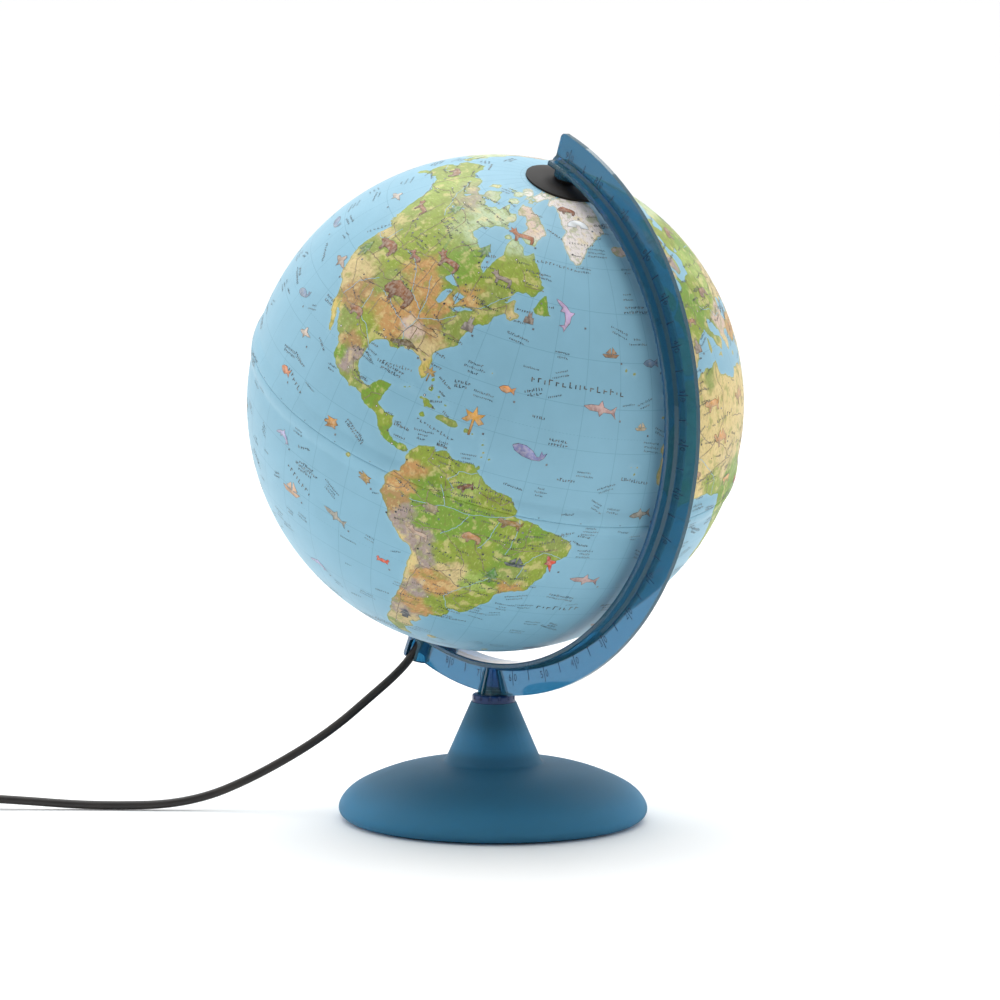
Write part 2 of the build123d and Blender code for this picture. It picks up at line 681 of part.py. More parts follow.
for name, place in (("switch_screw_1", -17.5), ("switch_screw_2", 17.5)):
    with BuildPart() as switch_screw:
        with BuildSketch(switch_frame.offset(0.2)):
            with Locations((place, 0)):
                Circle(2.05)
        extrude(amount=1.0)
        with BuildSketch(switch_frame.offset(1.2)):
            with Locations((place, 0)):
                Circle(1.25)
        extrude(amount=9.0)
        with BuildSketch(switch_frame.offset(0.2)):
            with Locations((place, 0)):
                Rectangle(2.6, 0.6)
        extrude(amount=0.6, mode=Mode.SUBTRACT)
    switch_screw.part.label = name
    export_step(switch_screw.part, f"parts/{name}.step")

# ---------------------------------------------------------------- what the cord measures

cord_length = switch_length + (coil_turns - coil_leaves_early / 360) * 2 * pi * coil_middle
print("cord radii", [round(radius, 1) for radius in lead_radii + mid_radii + tail_radii])
for name, tube, path in (("lead", cord_lead, lead_path), ("to coil", cord_to_coil, mid_path),
                         ("tail", cord_tail, tail_path)):
    path_length = path.wires()[0].length
    cord_length += path_length
    print(name, "volume over section times length",
          round(tube.part.volume / (pi * cord_radius**2 * path_length), 4))
print("cord length", round(cord_length))
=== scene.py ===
"""Looks for a desktop globe on a stand: an illuminated globe in a clear meridian arm on a frosted foot."""

import functools
import json
import math
import random

import bpy
import numpy as np
from mathutils import Matrix, Vector, geometry, kdtree, noise


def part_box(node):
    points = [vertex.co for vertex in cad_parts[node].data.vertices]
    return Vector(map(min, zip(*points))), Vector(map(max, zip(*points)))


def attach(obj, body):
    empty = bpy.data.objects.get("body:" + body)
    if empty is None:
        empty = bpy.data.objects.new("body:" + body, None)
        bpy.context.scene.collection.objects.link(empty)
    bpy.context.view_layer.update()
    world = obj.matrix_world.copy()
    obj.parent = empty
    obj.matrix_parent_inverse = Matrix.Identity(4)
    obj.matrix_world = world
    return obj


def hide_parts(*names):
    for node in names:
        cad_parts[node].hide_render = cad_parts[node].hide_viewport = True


bl_info = {
    "name": "Desktop Globe",
    "version": (1, 0, 0),
    "blender": (4, 5, 0),
    "location": "View3D > Sidebar > Globe",
    "description": "Dresses a desktop globe: printed map, clear arm with its scale, frosted foot and lead",
    "category": "Object",
}

MM = 0.001
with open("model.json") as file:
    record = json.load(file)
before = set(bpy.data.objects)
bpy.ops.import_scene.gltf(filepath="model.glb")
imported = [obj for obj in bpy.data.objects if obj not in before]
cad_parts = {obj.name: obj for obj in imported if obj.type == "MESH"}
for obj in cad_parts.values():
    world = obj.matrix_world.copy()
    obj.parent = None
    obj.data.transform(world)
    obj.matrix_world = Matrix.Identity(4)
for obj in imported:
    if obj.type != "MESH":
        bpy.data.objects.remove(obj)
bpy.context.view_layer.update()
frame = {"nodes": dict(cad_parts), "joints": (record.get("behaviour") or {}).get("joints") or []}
spin = next(joint for joint in frame["joints"] if joint["name"] == "globe_spin")
CENTRE = Vector(spin["pos_m"])
NORTH = Vector(spin["axis"]).normalized()
NORTH = NORTH if NORTH.z > 0 else -NORTH
EAST = Vector((NORTH.z, 0, -NORTH.x))
ACROSS = Vector((0, 1, 0))
ridge_low, ridge_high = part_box("north_hemisphere")
RIDGE_RADIUS = (ridge_high.y - ridge_low.y) / 2


def shade(code):
    """The linear colour of a hex colour code."""
    parts = (int(code[at:at + 2], 16) / 255 for at in (0, 2, 4))
    return tuple(part / 12.92 if part <= 0.04045 else ((part + 0.055) / 1.055) ** 2.4 for part in parts)


def length_of(name, text, size):
    """A length property in metres."""
    return bpy.props.FloatProperty(name=name, description=text, default=size, min=0, unit="LENGTH",
                                   precision=5)


def colour_of(name, text, code):
    """A colour property."""
    return bpy.props.FloatVectorProperty(name=name, description=text, default=shade(code), size=3,
                                         min=0, max=1, subtype="COLOR")


# ---------------------------------------------------------------- sizes and colours a user would change

class GlobeSizes(bpy.types.PropertyGroup):
    """Sizes of the printed map, the scale and the cord."""

    rise: length_of("Seam rise", "How far the ridge at the equator stands proud", 1.4 * MM)
    ridge: length_of("Ridge half width", "Half the width of the ridge at the equator", 7.3 * MM)
    hole: length_of("Pole hole", "Radius of the holes at the poles", 12 * MM)
    wall: length_of("Wall", "Thickness of the globe's plastic", 1.4 * MM)
    map_turn: bpy.props.FloatProperty(name="Map turn", description="Longitude that faces the arm",
                                      default=math.radians(-15.6), subtype="ANGLE")
    map_step: bpy.props.FloatProperty(name="Map step", description="Degrees between points of the map's mesh",
                                      default=0.6, min=0.3, max=5)
    city: length_of("City dot", "Radius of a city's dot", 0.62 * MM)
    digit: length_of("Digit height", "Height of the numbers on the arm", 3.6 * MM)
    web: length_of("Web thickness", "Thickness of the arm's upright web", 2.5 * MM)
    cord: length_of("Cord thickness", "Diameter of the mains lead", 4.4 * MM)


class GlobeColours(bpy.types.PropertyGroup):
    """Colours of the map's inks and the plastics."""

    sea: colour_of("Sea", "Ink of the seas", "82b2c7")
    sea_line: colour_of("Graticule", "Ink of the meridians and parallels on the seas", "4a7d94")
    coast: colour_of("Coast", "Ink of the coastline", "6f8f52")
    print_ink: colour_of("Print", "Ink of the dots and small print", "1d2326")
    border: colour_of("Borders", "Ink of the borders on land", "6f5836")
    river: colour_of("Rivers", "Ink of the rivers", "7db4cc")
    clear: colour_of("Clear plastic", "Tint of the clear blue plastic", "509cb1")
    frosted: colour_of("Frosted plastic", "Tint of the foot", "4aa0c8")
    scale_ink: colour_of("Scale", "Ink of the scale on the arm", "10243c")
    cord: colour_of("Cord", "Jacket of the mains lead", "1c1816")
    black: colour_of("Black plastic", "Caps, plug and switch", "15120f")
    floor: colour_of("Floor", "Floor under the globe", "fbfbfb")


# ---------------------------------------------------------------- shader sums

class Flow:
    """A shader socket that takes part in sums; every sum adds its own node."""

    def __init__(self, finish, socket):
        self.finish = finish
        self.socket = socket

    def __add__(self, other):
        return self.finish.sum("ADD", self, other)

    def __sub__(self, other):
        return self.finish.sum("SUBTRACT", self, other)

    def __rsub__(self, other):
        return self.finish.sum("SUBTRACT", other, self)

    def __mul__(self, other):
        return self.finish.sum("MULTIPLY", self, other)

    def __truediv__(self, other):
        return self.finish.sum("DIVIDE", self, other)

    def __abs__(self):
        return self.finish.sum("ABSOLUTE", self)

    def __mod__(self, other):
        return self.finish.sum("FLOORED_MODULO", self, other)

    __radd__ = __add__
    __rmul__ = __mul__

    def step(self, low, high):
        """0 below low, 1 above high, and a smooth rise between them."""
        sockets = {"Value": self, "From Min": low, "From Max": high}
        return self.finish.node("ShaderNodeMapRange", {"interpolation_type": "SMOOTHSTEP"}, sockets)


class Finish:
    """A material, or the light all round, in the making."""

    def __init__(self, name, kind="materials", where="Object", ending="ShaderNodeOutputMaterial"):
        self.material = getattr(bpy.data, kind).new(name)
        self.material.use_nodes = True
        self.tree = self.material.node_tree
        self.tree.nodes.clear()
        self.ending = ending
        self.where = self.node("ShaderNodeTexCoord", output=where)

    def node(self, kind, settings=None, sockets=None, output=None):
        """Adds a node, its settings first and then its sockets, and returns one output."""
        made = self.tree.nodes.new(kind)
        for name, value in (settings or {}).items():
            setattr(made, name, value)
        for name, value in (sockets or {}).items():
            socket = next(s for s in made.inputs if name in (s.identifier, s.name) and s.enabled)
            if isinstance(value, Flow):
                self.tree.links.new(value.socket, socket)
            else:
                socket.default_value = value
        shown = [s for s in made.outputs if s.enabled and output in (None, s.name)]
        return Flow(self, shown[0]) if shown else made

    def sum(self, operation, *values):
        """A Math node."""
        names = ("Value", "Value_001", "Value_002")
        return self.node("ShaderNodeMath", {"operation": operation}, dict(zip(names, values)))

    def mix(self, mask, first, second, blend="MIX"):
        """One colour over another."""
        rgba = [value if isinstance(value, Flow) else (*value, 1) for value in (first, second)]
        return self.node("ShaderNodeMix", {"data_type": "RGBA", "blend_type": blend},
                         {"Factor_Float": mask, "A_Color": rgba[0], "B_Color": rgba[1]})

    def noise(self, grain, detail=2.0, stretch=None):
        """Noise from 0 to 1 whose lumps are about `grain` metres across."""
        where = self.where
        if stretch:
            where = self.node("ShaderNodeVectorMath", {"operation": "MULTIPLY"},
                              {"Vector": where, "Vector_001": stretch})
        return self.node("ShaderNodeTexNoise", {}, {"Vector": where, "Scale": 0.5 / grain, "Detail": detail})

    def bump(self, height, depth, strength=1.0):
        """A normal from a height between 0 and 1 and the depth in metres."""
        return self.node("ShaderNodeBump", {}, {"Height": height, "Distance": depth, "Strength": strength})

    def surface(self, **sockets):
        """Joins the Principled shader to the output, its sockets given by name with underscores."""
        named = {name.replace("_", " "): value for name, value in sockets.items()}
        if isinstance(named.get("Base Color"), tuple):
            named["Base Color"] = (*named["Base Color"], 1)
        self.end(self.node("ShaderNodeBsdfPrincipled", {}, named))
        return self.material

    def end(self, shader, volume=None):
        """Joins the last shader, and a volume if the plastic has one, to the output."""
        made = self.tree.nodes.new(self.ending)
        self.tree.links.new(shader.socket, made.inputs["Surface"])
        if volume:
            self.tree.links.new(volume.socket, made.inputs["Volume"])
        return self.material


def moulded(name, colour, rough=0.4, grain=0.35 * MM, depth=0.012 * MM, wear=0.06, gloss=0.5):
    """Moulded plastic with a fine spark-eroded grain and slightly uneven gloss."""
    finish = Finish(name)
    cloudy = finish.noise(14 * MM, 3)
    fine = finish.noise(grain, 2)
    colours = finish.mix(cloudy.step(0.3, 0.7), colour, tuple(min(1, part * 1.25 + 0.002) for part in colour))
    return finish.surface(Base_Color=colours, Roughness=rough + (cloudy - 0.5) * 2 * wear,
                          Specular_IOR_Level=gloss, Normal=finish.bump(fine, depth))


def steel(name, colour, rough=0.3):
    """Turned and plated metal with faint drawn lines."""
    finish = Finish(name)
    lines = finish.noise(0.3 * MM, 2, (1, 1, 0.06))
    colours = finish.mix(lines.step(0.3, 0.7), colour, tuple(part * 0.8 for part in colour))
    return finish.surface(Base_Color=colours, Metallic=1.0, Roughness=rough + (lines - 0.5) * 0.25,
                          Normal=finish.bump(lines, 0.004 * MM))


def dress(material, *nodes):
    """Gives CAD nodes a material."""
    for node in nodes:
        slots = frame["nodes"][node].data.materials
        slots.clear()
        slots.append(material)


def piece_of(name, points, faces, material, body):
    """A mesh piece that rides on a body."""
    mesh = bpy.data.meshes.new(name)
    mesh.from_pydata(points, [], faces)
    mesh.validate()
    mesh.update()
    mesh.materials.append(material)
    piece = bpy.data.objects.new(name, mesh)
    bpy.context.scene.collection.objects.link(piece)
    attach(piece, body)
    return piece


# ---------------------------------------------------------------- mains lead
# Each point is the distance along the cord's heading, the distance to its side, and the height, in mm.

CORD_HEADING = math.radians(228.2)
ALONG = Vector((math.cos(CORD_HEADING), math.sin(CORD_HEADING), 0))
ASIDE = Vector((-math.sin(CORD_HEADING), math.cos(CORD_HEADING), 0))
LEAD = [
    (33.5, -37.5, 96.4), (35.7, -39.8, 88.9), (39.8, -40.6, 80.6), (45.2, -39.0, 72.8), (52.8, -34.6, 65.6),
    (63.8, -31.0, 56.4), (77.6, -27.6, 44.6), (92.2, -24.8, 34.2), (108.2, -22.4, 24.6), (126.0, -20.6, 15.2),
    (145.0, -19.0, 7.2), (166.0, -18.0, 2.9), (189.0, -17.6, 2.3), (212.0, -17.9, 2.5), (236.0, -18.0, 4.2),
    (259.0, -18.0, 5.6), (305.0, -18.0, 5.6), (318.0, -18.2, 4.4), (330.0, -18.2, 2.7), (342.0, -18.0, 2.2),
]
COIL_ALONG = 342.0
COIL_ASIDE = 9.4
COIL_TURN = 3045
COIL_STEP = 15
SHIFT_TURN = 60
FIRST_SHIFT = 270
SHIFT_EARLIER = 17
# The turns' places in the coil's section: radius and height
COIL_PLACES = [(27.4, 2.2), (23.0, 2.2), (18.6, 2.2), (18.6, 6.6), (18.6, 11.0), (23.0, 11.0), (23.0, 6.6),
               (27.4, 6.6), (27.4, 11.0)]
TAIL_RUNS = [(13.0, 10.0), (31.6, 7.0)]


def coil_place(turned):
    """Radius and height of the coil's strand once it has turned so many degrees."""
    radius, height = COIL_PLACES[0]
    for number, (next_radius, next_height) in enumerate(COIL_PLACES[1:]):
        start = 360 * number + FIRST_SHIFT - SHIFT_EARLIER * number
        part = min(1.0, max(0.0, (turned - start) / SHIFT_TURN))
        part = part * part * (3 - 2 * part)
        radius += (next_radius - radius) * part
        height += (next_height - height) * part
    return radius, height


def cord_route():
    """The control points of the whole lead in metres: the free run, the coil and the tail."""
    route = list(LEAD)
    for turned in range(COIL_STEP, COIL_TURN + 1, COIL_STEP):
        radius, height = coil_place(turned)
        angle = math.radians(turned - 90)
        route.append((COIL_ALONG + radius * math.cos(angle), COIL_ASIDE + radius * math.sin(angle), height))
    last = math.radians(COIL_TURN - 90)
    start = route[-1]
    for run, height in TAIL_RUNS:
        route.append((start[0] - run * math.sin(last), start[1] + run * math.cos(last), height))
    return [(ALONG * along + ASIDE * aside + Vector((0, 0, height))) * MM for along, aside, height in route]


class GLOBE_OT_cord(bpy.types.Operator):
    """Lays the mains lead from the arm through the switch into its tied coil"""

    bl_idname = "globe.cord"
    bl_label = "Mains Lead"

    def execute(self, context):
        sizes = context.scene.globe_sizes
        colours = context.scene.globe_colours
        finish = Finish("cord_jacket")
        cloudy = finish.noise(9 * MM, 3)
        fine = finish.noise(0.3 * MM, 3)
        dusty = finish.mix(cloudy.step(0.35, 0.75), tuple(colours.cord), shade("2b2521"))
        finish.surface(Base_Color=dusty, Roughness=0.44 + cloudy * 0.16, Normal=finish.bump(fine, 0.02 * MM))
        curve = bpy.data.curves.new("mains_lead", "CURVE")
        curve.dimensions = "3D"
        curve.bevel_depth = sizes.cord / 2
        curve.bevel_resolution = 6
        curve.resolution_u = 6
        curve.use_fill_caps = True
        route = cord_route()
        spline = curve.splines.new("NURBS")
        spline.points.add(len(route) - 1)
        for point, place in zip(spline.points, route):
            point.co = (*place, 1)
        spline.order_u = 3
        spline.use_endpoint_u = True
        curve.materials.append(finish.material)
        lead = bpy.data.objects.new("mains_lead", curve)
        context.scene.collection.objects.link(lead)
        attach(lead, "stand")
        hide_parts("cord_lead", "cord_to_coil", "cord_coil", "cord_tail")
        return {"FINISHED"}


# ---------------------------------------------------------------- stage

class GLOBE_OT_stage(bpy.types.Operator):
    """Sets the camera, the soft studio light and the pale floor"""

    bl_idname = "globe.stage"
    bl_label = "Stage"

    CAMERA_AWAY = 3.0
    CAMERA_AROUND = math.radians(48.2)
    CAMERA_ABOVE = math.radians(6.33)
    LOOKS_AROUND = math.radians(48.15)
    LOOKS_DOWN = math.radians(7.26)
    CAMERA_ROLL = math.radians(0.35)
    LENS = 214.6
    # Where the white tent starts and ends to darken toward its opening, and its brightness there
    TENT = (-0.1, 0.9, 1.30, 0.42)
    LIGHTS = [
        # name, place, size, watts
        ("over", (-0.5, 0.4, 2.1), 2.0, 30.0),
        ("left", (-1.7, -1.6, 1.3), 1.6, 7.0),
    ]

    def execute(self, context):
        scene = context.scene
        scene.view_settings.view_transform = "Standard"
        around, above = self.CAMERA_AROUND, self.CAMERA_ABOVE
        camera = bpy.data.objects.new("camera", bpy.data.cameras.new("camera"))
        camera.data.lens = self.LENS
        camera.data.sensor_width = 36
        away = Vector((math.sin(around) * math.cos(above), -math.cos(around) * math.cos(above),
                       math.sin(above)))
        ahead = Vector((-math.sin(self.LOOKS_AROUND) * math.cos(self.LOOKS_DOWN),
                        math.cos(self.LOOKS_AROUND) * math.cos(self.LOOKS_DOWN), -math.sin(self.LOOKS_DOWN)))
        right = Vector((math.cos(self.LOOKS_AROUND), math.sin(self.LOOKS_AROUND), 0))
        turn = Matrix((right, right.cross(ahead), -ahead)).transposed()
        turn = turn @ Matrix.Rotation(self.CAMERA_ROLL, 3, "Z")
        camera.matrix_world = Matrix.Translation(CENTRE + away * self.CAMERA_AWAY) @ turn.to_4x4()
        scene.collection.objects.link(camera)
        scene.camera = camera
        scene.world = self.white_tent(away)
        for name, place, size, watts in self.LIGHTS:
            lamp = bpy.data.lights.new(name, "AREA")
            lamp.size = size
            lamp.energy = watts
            lit = bpy.data.objects.new(name, lamp)
            lit.location = place
            lit.rotation_euler = (Vector((0, 0, 0.15)) - Vector(place)).to_track_quat("-Z", "Y").to_euler()
            scene.collection.objects.link(lit)
        self.lay_floor(context)
        return {"FINISHED"}

    def white_tent(self, opening):
        """White cloth all round, darker where the tent is open."""
        tent = Finish("white_tent", "worlds", "Generated", "ShaderNodeOutputWorld")
        toward = tent.node("ShaderNodeVectorMath", {"operation": "DOT_PRODUCT"},
                           {"Vector": tent.where, "Vector_001": opening}, "Value")
        limits = dict(zip(("From Min", "From Max", "To Min", "To Max"), self.TENT))
        cloth = tent.node("ShaderNodeMapRange", {"interpolation_type": "SMOOTHSTEP"},
                          {"Value": toward, **limits})
        return tent.end(tent.node("ShaderNodeBackground", {}, {"Color": (1, 1, 1, 1), "Strength": cloth}))

    def lay_floor(self, context):
        """A wide pale floor."""
        finish = Finish("pale_floor")
        soft = finish.noise(0.3, 3)
        colour = tuple(context.scene.globe_colours.floor)
        paint = finish.mix(soft, colour, tuple(part * 0.995 for part in colour))
        finish.surface(Base_Color=paint, Roughness=0.85)
        mesh = bpy.data.meshes.new("floor")
        far = 30.0
        mesh.from_pydata([(-far, -far, 0), (far, -far, 0), (far, far, 0), (-far, far, 0)], [], [(0, 1, 2, 3)])
        mesh.materials.append(finish.material)
        floor = bpy.data.objects.new("floor", mesh)
        context.scene.collection.objects.link(floor)


# ---------------------------------------------------------------- foot and arm

class GLOBE_OT_foot(bpy.types.Operator):
    """Gives the foot its frosted plastic and its underside its cover, pad and ballast"""

    bl_idname = "globe.foot"
    bl_label = "Foot"

    def execute(self, context):
        tint = tuple(context.scene.globe_colours.frosted)
        finish = Finish("frosted_shell")
        cloudy = finish.noise(26 * MM, 2)
        fine = finish.noise(0.22 * MM, 3)
        colours = finish.mix(cloudy.step(0.3, 0.7), tint, tuple(part * 0.94 for part in tint))
        # Painted light and shade, by height: the wall is painted lighter at the rim and at the foot of the
        # cone, and painted darker where the arm's plug stands behind it
        height = finish.node("ShaderNodeSeparateXYZ", {}, {"Vector": finish.where}, "Z") * (1 / MM)
        painted_light_and_shade = (1 - height.step(10, 24) * 0.75) + height.step(33, 38) * 0.55 - height.step(42, 52) * 0.75
        colours = finish.mix(painted_light_and_shade, tuple(part * 0.55 for part in tint), colours)
        finish.surface(Base_Color=colours, Roughness=0.6 + (cloudy - 0.5) * 0.08, Transmission_Weight=0.6,
                       IOR=1.3, Normal=finish.bump(fine, 0.03 * MM))
        dress(finish.material, "base_shell")
        dress(moulded("dark_cover", shade("20384a"), 0.5), "bottom_cover")
        dress(self.foam(), "foam_pad")
        dress(steel("ballast_steel", shade("6d7176"), 0.45), "ballast_plate")
        dress(steel("screw_steel", shade("b9bcc0"), 0.28), "ballast_screw_1", "ballast_screw_2",
              "ballast_screw_3", "arm_screw", "arm_washer", "stem_nut", "switch_screw_1", "switch_screw_2")
        return {"FINISHED"}

    def foam(self):
        """Closed-cell foam with fine pores."""
        finish = Finish("foam")
        cells = finish.node("ShaderNodeTexVoronoi", {"feature": "DISTANCE_TO_EDGE"},
                            {"Vector": finish.where, "Scale": 900.0}, "Distance")
        colours = finish.mix(cells.step(0.02, 0.2), shade("1b1d20"), shade("34373b"))
        return finish.surface(Base_Color=colours, Roughness=0.9, Normal=finish.bump(cells, 0.1 * MM))


def clear_plastic(name, tint, depth_tint, density):
    """Clear tinted plastic: what shows through it darkens with the thickness, and its edges are darkest."""
    finish = Finish(name)
    waves = finish.noise(9 * MM, 1)
    smear = finish.noise(3 * MM, 3)
    shader = finish.node("ShaderNodeBsdfPrincipled", {}, {
        "Base Color": (*tint, 1), "Transmission Weight": 0.78, "IOR": 1.49,
        "Roughness": 0.015 + smear.step(0.55, 0.8) * 0.04, "Normal": finish.bump(waves, 0.05 * MM, 0.4)})
    volume = finish.node("ShaderNodeVolumeAbsorption", {}, {"Color": (*depth_tint, 1), "Density": density})
    return finish.end(shader, volume)


class GLOBE_OT_arm(bpy.types.Operator):
    """Gives the meridian arm its clear blue plastic, and its collar an opaque dark navy that is painted shade
    """

    bl_idname = "globe.arm"
    bl_label = "Meridian Arm"

    DEPTH_TINT = (0.18, 0.54, 0.80)
    DENSITY = 640.0

    def execute(self, context):
        tint = tuple(context.scene.globe_colours.clear)
        dress(clear_plastic("clear_blue", tint, self.DEPTH_TINT, self.DENSITY), "meridian_arm")
        # The collar's opaque dark navy is painted shade, standing in for the dark look of thick clear plastic
        dress(moulded("collar_painted_shade", shade("16305a"), 0.3, gloss=0.3), "foot_collar")
        return {"FINISHED"}


# ---------------------------------------------------------------- the map's outlines, degrees east and north

